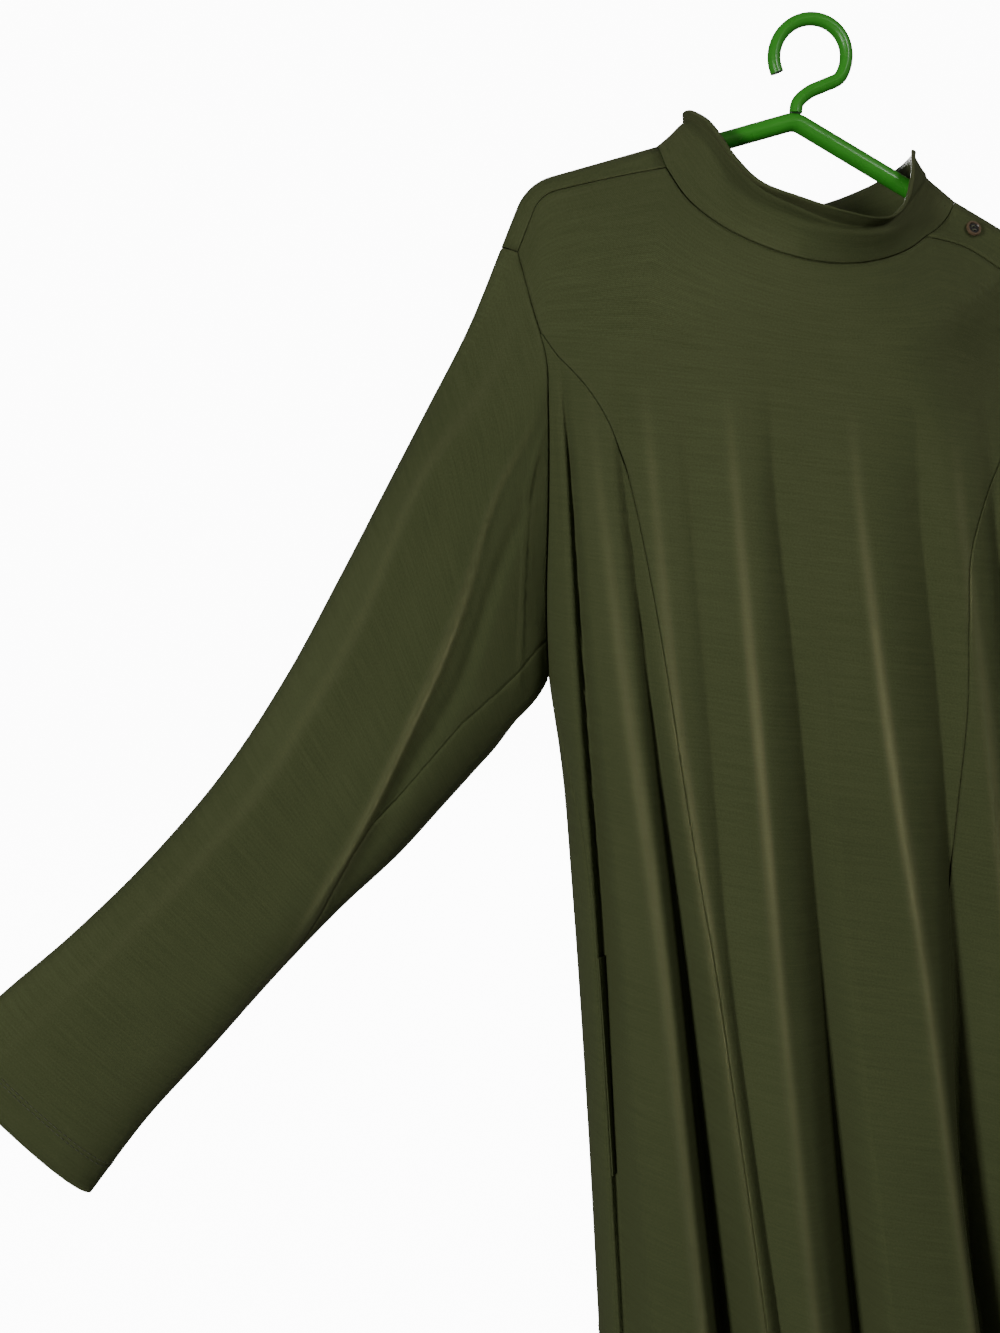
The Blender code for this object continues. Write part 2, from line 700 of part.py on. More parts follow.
def merged(grids):
    """One list of points and cells for a piece made of several grids, equal points made one."""
    points, cells = [], []
    count = 0
    for grid in grids:
        more, faces = faces_of(grid)
        points.append(more)
        cells.append(faces + count)
        count += len(more)
    points = np.concatenate(points)
    cells = np.concatenate(cells)
    _, first, index = np.unique(
        np.round(points, 4), axis=0, return_index=True, return_inverse=True
    )
    cells = index.reshape(-1)[cells]
    faces = []
    for cell in cells:
        corners = [int(c) for i, c in enumerate(cell) if c != cell[i - 1]]
        if len(corners) > 2:
            faces.append(corners)
    return points[first], faces


def face_normal(points, face):
    """The face's normal, as long as twice its area."""
    corners = points[face]
    return sum(
        np.cross(corners[i] - corners[0], corners[i + 1] - corners[0])
        for i in range(1, len(face) - 1)
    )


def shared_normals(pieces):
    """The cloth's outward direction at every point, shared by the pieces that meet there."""
    total = {}
    for points, faces in pieces.values():
        for face in faces:
            normal = face_normal(points, face)
            for corner in face:
                key = tuple(np.round(points[corner], 3))
                total[key] = total.get(key, 0) + normal
    return total


def open_edges(faces):
    """The edges that belong to one face only, as that face runs them."""
    edges = {}
    for face in faces:
        for i, corner in enumerate(face):
            edges[(face[i - 1], corner)] = face
    return [edge for edge in edges if edge[::-1] not in edges]


def pulled_in(points, faces, normals, pull):
    """The points with those on the piece's edges drawn in from the seams."""
    out = {}
    for start, end in open_edges(faces):
        run = points[end] - points[start]
        middle = (normals[start] + normals[end]) / 2
        inward = np.cross(middle, run)
        inward /= np.linalg.norm(inward)
        for corner in (start, end):
            out.setdefault(corner, []).append(inward)
    moved = points.copy()
    for corner, sides in out.items():
        total = sum(sides)
        length = np.linalg.norm(total)
        total /= max(length, 1e-6)
        lean = max(float(total @ sides[0]), 0.35)
        moved[corner] += total * pull(points[corner]) / lean
    return moved


def halved(points, faces):
    """The faces cut into triangles across their shorter way, so that both sides of a wall match."""
    made = []
    for face in faces:
        if len(face) < 4:
            made.append(face)
            continue
        a, b, c, d = face
        if np.linalg.norm(points[a] - points[c]) <= np.linalg.norm(points[b] - points[d]):
            made += [[a, b, c], [a, c, d]]
        else:
            made += [[b, c, d], [b, d, a]]
    return made


def wall_mesh(name, points, faces, normals, wall, pull):
    """A closed wall: the outer points, the same points moved in by its thickness, and its edges."""
    outer = pulled_in(points, faces, normals, pull)
    faces = halved(outer, faces)
    inner = outer - normals * wall
    count = len(outer)
    walls = list(faces)
    walls += [[corner + count for corner in reversed(face)] for face in faces]
    walls += [[end, start, start + count, end + count] for start, end in open_edges(faces)]
    mesh = bpy.data.meshes.new(name)
    mesh.from_pydata((np.concatenate([outer, inner]) * MM).tolist(), [], walls)
    mesh.shade_smooth()
    mesh.set_sharp_from_angle(angle=math.radians(60))
    return mesh


def add_object(name, data, look, parent):
    """Links a named object under the garment's empty."""
    made = bpy.data.objects.new(name, data)
    bpy.context.collection.objects.link(made)
    made.data.materials.append(look)
    made.parent = parent
    return made


def seam_pull(_):
    """How far a plain seam's edge is drawn in."""
    return SEAM_PULL


def sleeve_pull(point):
    """How far a sleeve's edge is drawn in: most at the underarm, where it meets the body sharply."""
    fall = -point[2] - SLANT * point[0]
    return SLEEVE_PULL + UNDERARM_PULL * max(0.0, 1 - abs(fall - UNDERARM_FALL) / 90)


def pocket_pull(point):
    """How far a side seam's edge is drawn in: more along the pocket's mouth."""
    across, drop = point[0], -point[2]
    fall = drop - SLANT * across
    share = (fall - POCKET_TOP_FALL) / (POCKET_END_FALL - POCKET_TOP_FALL)
    at_side = abs(abs(across - MIDDLE) - girth(np.array(fall))[0]) < 20
    if not (0 < share < 1 and at_side):
        return SEAM_PULL
    return SEAM_PULL + POCKET_GAP * math.sin(math.pi * share) ** 0.5


def cloth_pieces():
    """The grids of each cloth piece."""
    body = back_body()
    wraps = [shoulder_wrap(-1), shoulder_wrap(1)]
    return {
        "front_centre": [front_centre()],
        "front_side_right": [front_side(-1)],
        "front_side_left": [front_side(1)],
        "back": [body, *wraps],
        "sleeve_right": [sleeve(-1)],
        "sleeve_left": [sleeve(1)],
        "collar": [collar()],
    }


def facing_out(points, faces, centre):
    """The faces, turned if most of them face the inside, as seen from straight above."""
    total = 0.0
    for face in faces:
        away = (points[face].mean(0) - centre)[:2]
        total += float(face_normal(points, face)[:2] @ away)
    return faces if total > 0 else [face[::-1] for face in faces]


def build_cloth(parent):
    """Builds every cloth piece as a closed wall."""
    look = material("olive_knit", OLIVE, 0.75)
    pieces = {}
    for name, grids in cloth_pieces().items():
        points, faces = merged(grids)
        centre = np.array([MIDDLE, 0, -450])
        if name.startswith(("sleeve", "collar")):
            centre = points.mean(0)
        pieces[name] = (points, facing_out(points, faces, centre))
    total = shared_normals(pieces)
    for name, (points, faces) in pieces.items():
        normals = np.array([total[tuple(np.round(point, 3))] for point in points])
        normals /= np.linalg.norm(normals, axis=1)[:, None]
        wall = COLLAR_WALL if name == "collar" else WALL
        pull = seam_pull
        if name.startswith(("front_side", "back")):
            pull = pocket_pull
        if name.startswith("sleeve"):
            pull = sleeve_pull
        add_object(name, wall_mesh(name, points, faces, normals, wall, pull), look, parent)


def hanger_route():
    """The hanger frame's centre line as a closed loop in its own plane."""
    turn = math.pi - ARM_SLOPE
    points = []
    for side in (1, -1):
        half = []
        setback = APEX_RADIUS * math.tan(ARM_SLOPE)
        for angle in np.linspace(0, ARM_SLOPE, 4)[:-1]:
            across = APEX_RADIUS * math.sin(angle)
            drop = APEX_RADIUS * (1 / math.cos(ARM_SLOPE) - math.cos(angle))
            half.append((across, ARM_APEX_DROP + drop))
        for along in np.linspace(setback, ARM_LENGTH, 12):
            half.append((
                along * math.cos(ARM_SLOPE), ARM_APEX_DROP + along * math.sin(ARM_SLOPE)
            ))
        end_across, end_drop = half[-1]
        for angle in np.linspace(ARM_SLOPE, ARM_SLOPE + turn, 10)[1:]:
            half.append((
                end_across + CORNER_RADIUS * (math.sin(angle) - math.sin(ARM_SLOPE)),
                end_drop + CORNER_RADIUS * (math.cos(ARM_SLOPE) - math.cos(angle)),
            ))
        for share in (0.33, 0.66):
            half.append((half[-1][0] * (1 - share), half[-1][1]))
        if side < 0:
            half = [(-across, drop) for across, drop in reversed(half)][:-1]
        points += half
    return points


def tube(name, points, radius, cyclic, look, parent):
    """A round tube along a line of points, as a curve with a bevel."""
    curve = bpy.data.curves.new(name, "CURVE")
    curve.dimensions = "3D"
    curve.bevel_depth = radius * MM
    curve.bevel_resolution = 2
    curve.use_fill_caps = not cyclic
    spline = curve.splines.new("POLY")
    spline.points.add(len(points) - 1)
    for target, (across, drop) in zip(spline.points, points):
        target.co = (across * MM, 0.0, -drop * MM, 1.0)
    spline.use_cyclic_u = cyclic
    spline.use_smooth = True
    return add_object(name, curve, look, parent)


def hook_route():
    """The hook's centre line: a stem from the arms, then a round bend over the rail."""
    inner = HOOK_BEND - HOOK_RADIUS
    foot = tilted(0, HOOK_FOOT_DROP)
    lead = [foot, tilted(0, HOOK_FOOT_DROP - 5.0), (-2.5, 38.8), (7.0, 35.6)]
    bend = []
    for angle in np.radians(np.arange(-38, 201, 17)):
        bend.append((HOOK_BEND * math.cos(angle), inner - HOOK_BEND * math.sin(angle)))
    return along_path([*lead, *bend], 36)


def build_hanger(parent):
    """The plastic hanger: a closed tubular frame and its hook."""
    look = material("green_plastic", GREEN, 0.3)
    route = [tilted(*point) for point in hanger_route()]
    tube("hanger_frame", route, TUBE_RADIUS, True, look, parent)
    tube("hanger_hook", hook_route(), HOOK_RADIUS, False, look, parent)


def button_frame():
    """Where the button sits, and the cloth's outward direction there."""
    step = 3.0
    here = cloth_point(BUTTON_ACROSS, BUTTON_DROP, True)
    right = cloth_point(BUTTON_ACROSS + step, BUTTON_DROP, True) - here
    down = cloth_point(BUTTON_ACROSS, BUTTON_DROP + step, True) - here
    outward = np.cross(down, right)
    return here, outward / np.linalg.norm(outward)


def build_button(parent):
    """A small dished button with four holes, turned from a profile and drilled."""
    look = material("horn_plastic", HORN, 0.35)
    height = BUTTON_THICKNESS
    profile = (
        (0.0, height - BUTTON_DISH_DEPTH),
        (BUTTON_DISH_RADIUS - 0.5, height - BUTTON_DISH_DEPTH),
        (BUTTON_DISH_RADIUS, height),
        (BUTTON_RADIUS - 0.5, height),
        (BUTTON_RADIUS, height * 0.6),
        (BUTTON_RADIUS - 0.7, 0.0),
        (0.0, 0.0),
    )
    sides = 24
    points, faces = [], []
    for radius, z in profile:
        for k in range(sides if radius else 1):
            angle = 2 * math.pi * k / sides
            points.append((radius * math.cos(angle) * MM, radius * math.sin(angle) * MM, z * MM))
    first = 1
    faces += [(0, first + k, first + (k + 1) % sides) for k in range(sides)]
    for ring in range(len(profile) - 3):
        a, b = first + ring * sides, first + (ring + 1) * sides
        for k in range(sides):
            faces.append((a + k, b + k, b + (k + 1) % sides, a + (k + 1) % sides))
    last = len(points) - 1
    low = first + (len(profile) - 3) * sides
    faces += [(last, low + (k + 1) % sides, low + k) for k in range(sides)]
    mesh = bpy.data.meshes.new("button")
    mesh.from_pydata(points, [], faces)
    button = add_object("button", mesh, look, parent)
    here, outward = button_frame()
    button.location = tuple((here + outward * BUTTON_SEAT) * MM)
    button.rotation_mode = "QUATERNION"
    button.rotation_quaternion = mathutils.Vector(outward).to_track_quat("Z", "Y")
    for across in (-1, 1):
        for along in (-1, 1):
            bpy.ops.mesh.primitive_cylinder_add(
                vertices=8, radius=BUTTON_HOLE_RADIUS * MM, depth=4 * BUTTON_THICKNESS * MM
            )
            drill = bpy.context.object
            drill.name = f"drill_{across}_{along}"
            drill.parent = button
            half = BUTTON_HOLE_SPACING / 2 * MM
            drill.location = (across * half, along * half, 0)
            drill.hide_render = True
            drill.display_type = "WIRE"
            cut = button.modifiers.new(drill.name, "BOOLEAN")
            cut.operation = "DIFFERENCE"
            cut.object = drill


def main():
    for existing in list(bpy.data.objects):
        bpy.data.objects.remove(existing, do_unlink=True)
    garment = bpy.data.objects.new("garment", None)
    bpy.context.collection.objects.link(garment)
    build_cloth(garment)
    build_hanger(garment)
    build_button(garment)


main()
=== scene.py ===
"""Looks for the olive knit tunic on its green hanger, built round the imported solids.

The cloth is made again from the same sizes as the solids, with finer folds, seams, stitches and a
knit material. Sizes in the shape functions are millimetres; Blender's own units are metres.
"""

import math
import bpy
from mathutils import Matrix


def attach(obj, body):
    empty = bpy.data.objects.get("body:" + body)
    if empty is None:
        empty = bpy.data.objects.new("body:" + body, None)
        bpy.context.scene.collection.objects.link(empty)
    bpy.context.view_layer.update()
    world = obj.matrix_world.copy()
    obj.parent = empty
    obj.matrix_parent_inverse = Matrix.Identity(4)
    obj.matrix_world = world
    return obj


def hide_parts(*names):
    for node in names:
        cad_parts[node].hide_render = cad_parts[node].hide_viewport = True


bl_info = {
    "name": "Knit Tunic on a Hanger",
    "version": (1, 0, 0),
    "blender": (4, 5, 0),
    "location": "3D View > Sidebar > Tunic",
    "description": "Builds a long-sleeved knit tunic hanging on a plastic hanger",
    "category": "Object",
}

from collections import namedtuple

import bmesh
import bpy
import numpy as np
from mathutils import Matrix, Vector

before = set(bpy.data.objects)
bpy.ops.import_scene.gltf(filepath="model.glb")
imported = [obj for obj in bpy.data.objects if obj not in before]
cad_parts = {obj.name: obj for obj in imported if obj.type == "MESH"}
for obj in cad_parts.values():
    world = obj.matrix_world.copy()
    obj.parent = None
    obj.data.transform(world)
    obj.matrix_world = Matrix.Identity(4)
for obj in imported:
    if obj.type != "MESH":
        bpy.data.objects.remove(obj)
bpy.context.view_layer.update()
MM = 0.001

# Hanger sizes, which the shoulders follow
TILT = math.radians(12.5)
ARM_SLOPE = math.radians(22.5)
ARM_APEX_DROP = 56.0
ARM_LENGTH = 152.0
CORNER_RADIUS = 23.4
CAP = 7.6
APEX_RADIUS = 12.0
TUBE_RADIUS = 5.5
HOOK_RADIUS = 4.0
HOOK_BEND = 22.0
HOOK_FOOT_DROP = 51.15
HOOK_STEM_STEP = 5.0
HOOK_STEM_TOP = ((-2.5, 38.8), (7.0, 35.6))
HOOK_ANGLES = tuple(range(-38, 201, 17))
BAR_SHARES = (0.33, 0.66)
PARTING_RIDGE = 0.25
RIDGE_APEX_DROP = ARM_APEX_DROP - CAP / math.cos(ARM_SLOPE)
RIDGE_STRAIGHT = ARM_LENGTH + CAP * math.tan(ARM_SLOPE)
RIDGE_TURN_RADIUS = CORNER_RADIUS + CAP
RIDGE_END_ANGLE = math.radians(75.0)
RIDGE_TAIL = {-1: 25.5, 1: 35.0}

# Garment sizes
SLANT = math.tan(TILT)
MIDDLE = -32.0
BODY_CENTRE = (MIDDLE, 0.0, -450.0)
TIP_FALL = 208.0
UNDERARM_FALL = 424.0
HEM_FALL = 890.0
SPREAD = 110.0
SPREAD_POWER = 1.3
ACROSS_POWER = 2.6
DEPTH_POWER = 2.0
FOLD_START_FALL = 185.0
POCKET_TOP_FALL = 596.0
POCKET_END_FALL = 742.0
POCKET_INSET = 0.6
POCKET_FACING = 4.2
POCKET_RAISED = 0.7
POCKET_ROWS = 90
HEM_STITCHES = (22.0, 24.8)
CUFF_STITCHES = (21.0, 23.8)

# Mesh cells
SHOULDER_CELLS = 24
SHOULDER_STOPS = (0, 9, 21, 24)
NECK_CELLS = 72
SIDE_CELLS = 46
HELD_TURN = 0.93
TOP_CELLS = 16
ARMHOLE_CELLS = 44
SKIRT_CELLS = 84
TIP_CROWDING = 1.35
SIDE_CROWDING = 0.125
TUBE_SIDES = 32
APEX_POINTS = 7
ARM_POINTS = 24
CORNER_POINTS = 28
HOOK_CELLS = 72
COLLAR_CELLS = 34
SLEEVE_ROWS = 130
CAP_ANGLES = tuple(90.0 - 15.0 * step for step in range(13))
EDGE_STEPS = (0.7, 1.6, 3.2)
EDGE_SINK = (0.85, 0.45, 0.12)
ALLOWANCE = 3.5
ALLOWANCE_BEND = 0.35
ALLOWANCE_SINK = 2.1
SIDES = {"top": (0, False), "bottom": (0, True), "first": (1, False), "last": (1, True)}
WHERE = {-1: "right", 1: "left"}

# Stitches: rings as share of the length and of the width
STITCH_LENGTH = 3.0
STITCH_GAP = 1.1
STITCH_WIDTH = 0.55
STITCH_LIFT = 0.35
STITCH_RAISED = 0.05
STITCH_SIDES = 5
STITCH_RINGS = ((0.0, 0.35), (0.12, 0.85), (0.5, 1.0), (0.88, 0.85), (1.0, 0.35))

Girth = namedtuple("Girth", "fall half_width front back")
GIRTHS = (
    Girth(100, 162.0, 62.0, 44.0),
    Girth(250, 161.0, 64.0, 46.0),
    Girth(424, 160.5, 65.0, 47.0),
    Girth(480, 157.5, 66.0, 48.0),
    Girth(560, 158.0, 68.0, 50.0),
    Girth(710, 161.5, 70.0, 53.0),
    Girth(890, 168.0, 74.0, 57.0),
)

# One row for each fold line: where it lies across, and how far it stands out, at five falls
FOLD_FALLS = (290.0, 430.0, 570.0, 710.0, 890.0)
Fold = namedtuple("Fold", "name across out")
FRONT_FOLDS = (
    Fold("side ridge", (-176, -183, -184, -187, -193), (3, 5, 6, 5, 5)),
    Fold("side valley", (-169, -172, -174, -179, -185), (-6, -11, -15, -12, -10)),
    Fold("side panel edge", (-163, -163, -162, -163, -164), (3, 5, 6, 6, 7)),
    Fold("side panel ridge", (-154, -149, -142, -139, -135), (4, 7, 9, 10, 12)),
    Fold("first valley", (-139, -134, -129, -126, -122), (-3, -6, -13, -21, -26)),
    Fold("seam ridge", (-123, -121, -112, -104, -95), (3, 4, 7, 9, 12)),
    Fold("seam step", (-102, -101, -101, -95, -84), (0, 0, 2, 3, 4)),
    Fold("middle ridge", (-76, -75, -74, -71, -66), (3, 6, 9, 12, 14)),
    Fold("middle valley", (-52, -46, -44, -41, -36), (-3, -6, -12, -20, -26)),
    Fold("centre swell", (-34, -27, -25, -21, -14), (1, 2, 5, 8, 10)),
    Fold("centre ridge", (-5, 3, 14, 22, 34), (3, 6, 9, 12, 14)),
    Fold("far valley", (33, 39, 39, 36, 50), (-3, -6, -14, -23, -28)),
    Fold("far ridge", (56, 66, 70, 74, 86), (4, 6, 8, 10, 12)),
    Fold("far side valley", (80, 88, 92, 96, 106), (-3, -6, -12, -16, -18)),
    Fold("far side ridge", (99, 105, 110, 114, 121), (3, 5, 7, 8, 8)),
)

# Each fold is a flat rise to a beaded crest and a rounded fall beyond it, softer near the chest
CREST_FALLS = (290.0, 430.0, 560.0, 890.0)
CREST_RADII = (22.0, 10.0, 4.5, 2.5)
CREST_BEAD = 1.9
CREST_BEAD_SPREAD = 2.0
CREST_WIDTH = 3.4
CREST_SHINE_FALLS = (230.0, 430.0)
RISING_POWER = 1.25
FALLING_POWER = 1.8
BACK_FOLDS = (
    Fold("side ridge", (-160, -163, -164, -168, -172), (2, 4, 6, 7, 8)),
    Fold("first valley", (-140, -142, -143, -144, -146), (-2, -5, -9, -13, -16)),
    Fold("first ridge", (-112, -112, -110, -112, -114), (3, 6, 9, 11, 13)),
    Fold("second valley", (-84, -86, -88, -88, -90), (-2, -4, -9, -14, -18)),
    Fold("second ridge", (-52, -54, -58, -60, -62), (3, 5, 8, 10, 12)),
    Fold("middle valley", (-22, -24, -28, -32, -34), (-2, -5, -10, -16, -20)),
    Fold("middle ridge", (8, 6, 4, 0, -2), (3, 6, 9, 11, 13)),
    Fold("third valley", (40, 38, 36, 32, 30), (-2, -5, -11, -15, -19)),
    Fold("third ridge", (68, 70, 70, 68, 68), (3, 5, 8, 10, 12)),
    Fold("far valley", (92, 94, 96, 98, 100), (-2, -5, -9, -12, -14)),
    Fold("far ridge", (109, 112, 114, 117, 121), (2, 4, 6, 7, 8)),
)

# How far the armhole's edge lies inside the line from the sleeve's apex to the underarm
ArmholeRow = namedtuple("ArmholeRow", "share front back")
ARMHOLE_ROWS = (
    ArmholeRow(0.00, 9.5, 6.0),
    ArmholeRow(0.13, 14.0, 9.5),
    ArmholeRow(0.25, 19.0, 12.0),
    ArmholeRow(0.36, 16.9, 12.0),
    ArmholeRow(0.58, 10.8, 9.0),
    ArmholeRow(0.80, 3.6, 3.6),
    ArmholeRow(0.92, 1.0, 1.0),
    ArmholeRow(1.00, 0.0, 0.0),
)

Seam = namedtuple("Seam", "fall right left")
PRINCESS_ROWS = (
    Seam(208, -178.6, 114.6),
    Seam(222, -170.0, 106.5),
    Seam(232, -161.0, 98.0),
    Seam(257, -145.5, 84.0),
    Seam(280, -138.5, 72.0),
    Seam(304, -134.5, 62.5),
    Seam(350, -129.0, 57.0),
    Seam(400, -124.5, 53.5),
    Seam(467, -120.0, 45.0),
    Seam(523, -116.0, 38.0),
    Seam(583, -110.5, 33.0),
    Seam(640, -107.0, 29.0),
    Seam(710, -103.0, 27.5),
    Seam(890, -94.0, 36.0),
)
SIDE_SEAM_FALLS = (424.0, 470.0, 520.0, 560.0, 890.0)
SIDE_SEAM_INSET = (0.0, 2.5, 8.0, 10.5, 11.0)

# Forward shoulder seam: distance from the ridge, by share of the way from neck to sleeve
SEAM_SHARES = (0.0, 0.15, 0.5, 1.0)
SEAM_DISTANCE = {-1: (15.5, 13.5, 10.5, 10.5), 1: (33.0, 26.0, 24.0, 12.0)}
NECK_ALONG = {-1: 88.5, 1: 112.5}
NECK_BEND = {-1: 0.0, 1: 8.0}

NeckPoint = namedtuple("NeckPoint", "across drop")
FRONT_NECK = (
    NeckPoint(-86.0, 99.0),
    NeckPoint(-67.0, 121.0),
    NeckPoint(-49.0, 133.5),
    NeckPoint(-30.0, 142.5),
    NeckPoint(-4.0, 148.3),
    NeckPoint(18.5, 147.8),
    NeckPoint(42.0, 141.5),
)
BACK_NECK = (
    NeckPoint(-90.0, 84.0),
    NeckPoint(-70.0, 103.0),
    NeckPoint(-40.0, 117.0),
    NeckPoint(-8.0, 125.0),
    NeckPoint(25.0, 129.0),
    NeckPoint(55.0, 127.5),
)

# The collar's top edge, by share of the way round from the wearer's right shoulder over the front
Rim = namedtuple("Rim", "share across drop depth")
RIM_ROWS = (
    Rim(0.000, -69.0, 52.0, -16.0),
    Rim(0.070, -57.0, 82.0, -42.0),
    Rim(0.125, -48.0, 99.0, -60.0),
    Rim(0.190, -28.0, 112.0, -71.0),
    Rim(0.265, -3.5, 123.0, -75.0),
    Rim(0.315, 15.0, 127.0, -69.0),
    Rim(0.360, 30.0, 124.0, -57.0),
    Rim(0.400, 43.0, 112.0, -39.0),
    Rim(0.445, 53.0, 93.0, -18.0),
    Rim(0.490, 60.0, 79.0, 4.0),
    Rim(0.540, 66.0, 77.0, 24.0),
    Rim(0.600, 62.0, 81.0, 42.0),
    Rim(0.670, 42.0, 90.0, 52.0),
    Rim(0.750, 2.0, 98.0, 57.0),
    Rim(0.830, -38.0, 90.0, 52.0),
    Rim(0.900, -66.0, 66.0, 34.0),
    Rim(0.955, -77.0, 42.0, 8.0),
)
COLLAR_BULGE = 3.0
COLLAR_FOLD = 2.6
COLLAR_FOLD_ANGLES = (35, 70, 110, 145)
COLLAR_LIP = 1.6
COLLAR_LIP_REACH = 0.05
COLLAR_INSIDE_END = 0.06

# The crease that runs under the collar's rim: how deep and how high, by share of the way round
Crease = namedtuple("Crease", "share depth height")
COLLAR_CREASES = (
    Crease(0.00, 2.5, 0.80),
    Crease(0.08, 5.0, 0.84),
    Crease(0.16, 6.5, 0.87),
    Crease(0.26, 6.0, 0.88),
    Crease(0.33, 5.0, 0.88),
    Crease(0.38, 4.5, 0.80),
    Crease(0.43, 3.5, 0.62),
    Crease(0.48, 1.5, 0.50),
    Crease(0.56, 0.5, 0.60),
    Crease(0.75, 0.5, 0.60),
    Crease(1.00, 2.5, 0.80),
)
CREASE_REACH = (0.045, 0.16)

# The wearer's right sleeve; the other is its mirror image, swung closer to the body
Section = namedtuple("Section", "upper_across upper_drop lower_across lower_drop front back")
SLEEVE_SECTIONS = (
    Section(-222.0, 159.0, -203.0, 396.0, 31.0, 26.0),
    Section(-252.0, 205.0, -220.0, 413.0, 35.0, 28.0),
    Section(-283.0, 252.0, -240.0, 431.0, 36.0, 29.0),
    Section(-318.0, 305.0, -267.0, 456.0, 34.0, 28.0),
    Section(-357.0, 362.0, -300.0, 486.0, 31.0, 26.0),
    Section(-403.0, 418.7, -340.0, 517.0, 28.0, 23.0),
    Section(-457.0, 471.0, -386.0, 557.0, 25.0, 21.0),
    Section(-513.0, 516.0, -434.0, 602.0, 22.0, 19.0),
    Section(-563.0, 551.0, -481.0, 645.0, 20.0, 17.0),
    Section(-610.0, 586.4, -524.0, 692.0, 18.0, 15.0),
)
SLEEVE_HEAD_DEPTHS = (26.0, 22.0)
SLEEVE_BLEND = 0.28
SLEEVE_SHINE_FROM = 2.1
SLEEVE_SHINE_WIDTH = 4.5
SLEEVE_POWER = 0.86
SEAM_SWING_REACH = 2.2
LEFT_SLEEVE_SWING = math.radians(8.0)

# Where the sleeve's seam lies on its front, as height from the upper edge (-1) to the lower (1)
SLEEVE_SEAM_SHARES = (
    0.0, 0.02, 0.143, 0.24, 0.305, 0.365, 0.45, 0.497, 0.54, 0.583, 0.62, 0.66, 0.75, 1.0
)
SLEEVE_SEAM_HEIGHTS = (
    0.96, 0.948, 0.824, 0.70, 0.645, 0.63, 0.607, 0.575, 0.646, 0.764, 0.88, 0.96, 1.0, 1.0
)

# Creases down the sleeve's front: the height on the sleeve, how far out and how wide, by share
SLEEVE_FOLD_SHARES = (0.0, 0.06, 0.12, 0.20, 0.30, 0.40, 0.50, 0.57, 0.66, 0.80, 1.0)
SleeveFold = namedtuple("SleeveFold", "name height out width")
SLEEVE_FOLDS = (
    SleeveFold(
        "upper ridge",
        (-0.95, -0.90, -0.85, -0.80, -0.70, -0.60, -0.59, -0.56, -0.57, -0.57, -0.57),
        (0, 0.3, 1.0, 1.8, 2.2, 2.2, 2.2, 2.0, 1.6, 0.8, 0),
        13.0,
    ),
    SleeveFold(
        "middle hollow",
        (-0.6, -0.6, -0.6, -0.5, -0.36, -0.2, -0.1, 0.0, 0.2, 0.3, 0.3),
        (0, -0.5, -1.5, -2.5, -3.0, -3.0, -3.0, -2.5, -1.5, -0.5, 0),
        24.0,
    ),
    SleeveFold(
        "lower ridge",
        (-0.5, -0.42, -0.32, 0.0, 0.19, 0.33, 0.51, 0.67, 0.90, 0.95, 0.95),
        (0, 0.8, 2.2, 3.6, 4.4, 4.8, 4.8, 4.2, 2.6, 0.8, 0),
        5.0,
    ),
    SleeveFold(
        "lower hollow",
        (0.1, 0.1, 0.15, 0.30, 0.45, 0.52, 0.66, 0.82, 0.98, 1.0, 1.0),
        (0, -1.2, -2.6, -3.4, -3.4, -3.2, -2.8, -1.6, 0, 0, 0),
        8.0,
    ),
    SleeveFold(
        "armhole ridge",
        (-0.3, -0.08, 0.72, 0.9, 0.95, 1.0, 1.0, 1.0, 1.0, 1.0, 1.0),
        (0.5, 2.0, 2.0, 0.6, 0, 0, 0, 0, 0, 0, 0),
        6.0,
    ),
)

# The button on the wearer's left shoulder strip
BUTTON_ACROSS = 88.0
BUTTON_DROP = 131.0
BUTTON_HOLE_SPACING = 2.4
BUTTON_SEAT = 0.78
BUTTON_DISH = 1.6
BUTTON_THREAD_RADIUS = 0.16
BUTTON_RADIUS = 5.0
HORN = (0.008, 0.007, 0.006)
STRAND_PATH = (
    (-1.0, -1.2), (-1.0, 0.05), (-0.55, 0.42), (0.0, 0.5), (0.55, 0.42), (1.0, 0.05), (1.0, -1.2)
)

# The photograph's camera
CAMERA_PLACE = (-0.2225, -0.9451, -0.2545)
CAMERA_FORWARD = (0.0, 0.99255, -0.12187)
CAMERA_RIGHT = (0.99540, -0.01168, -0.09513)
CAMERA_UP = (0.09585, 0.12131, 0.98798)
CAMERA_LENS = 40.51
CAMERA_REACH = 50.0

# The studio: the edge light only gleams on the folds, and the key light only colours the cloth
Lamp = namedtuple("Lamp", "name place target size diffuse glossy")
LAMPS = (
    Lamp("key", (-2.95, -3.25, 0.1), (-0.05, 0.0, -0.4), 0.8, True, False),
    Lamp("fill", (0.85, -1.05, 0.45), (0.1, -0.06, -0.16), 0.4, True, True),
    Lamp("edge", (-1.7, -2.8, -0.2), (-0.1, -0.05, -0.5), 0.4, False, True),
    Lamp("back", (0.3, 4.0, 0.8), (-0.05, 0.0, -0.45), 0.8, True, True),
)
FLOOR_RADIUS = 7.0
FLOOR_HEIGHT = -1.25
DOME_RADIUS = 8.0
NODE_COLUMN = 220
NODE_ROW = 300


# The shape of the cloth

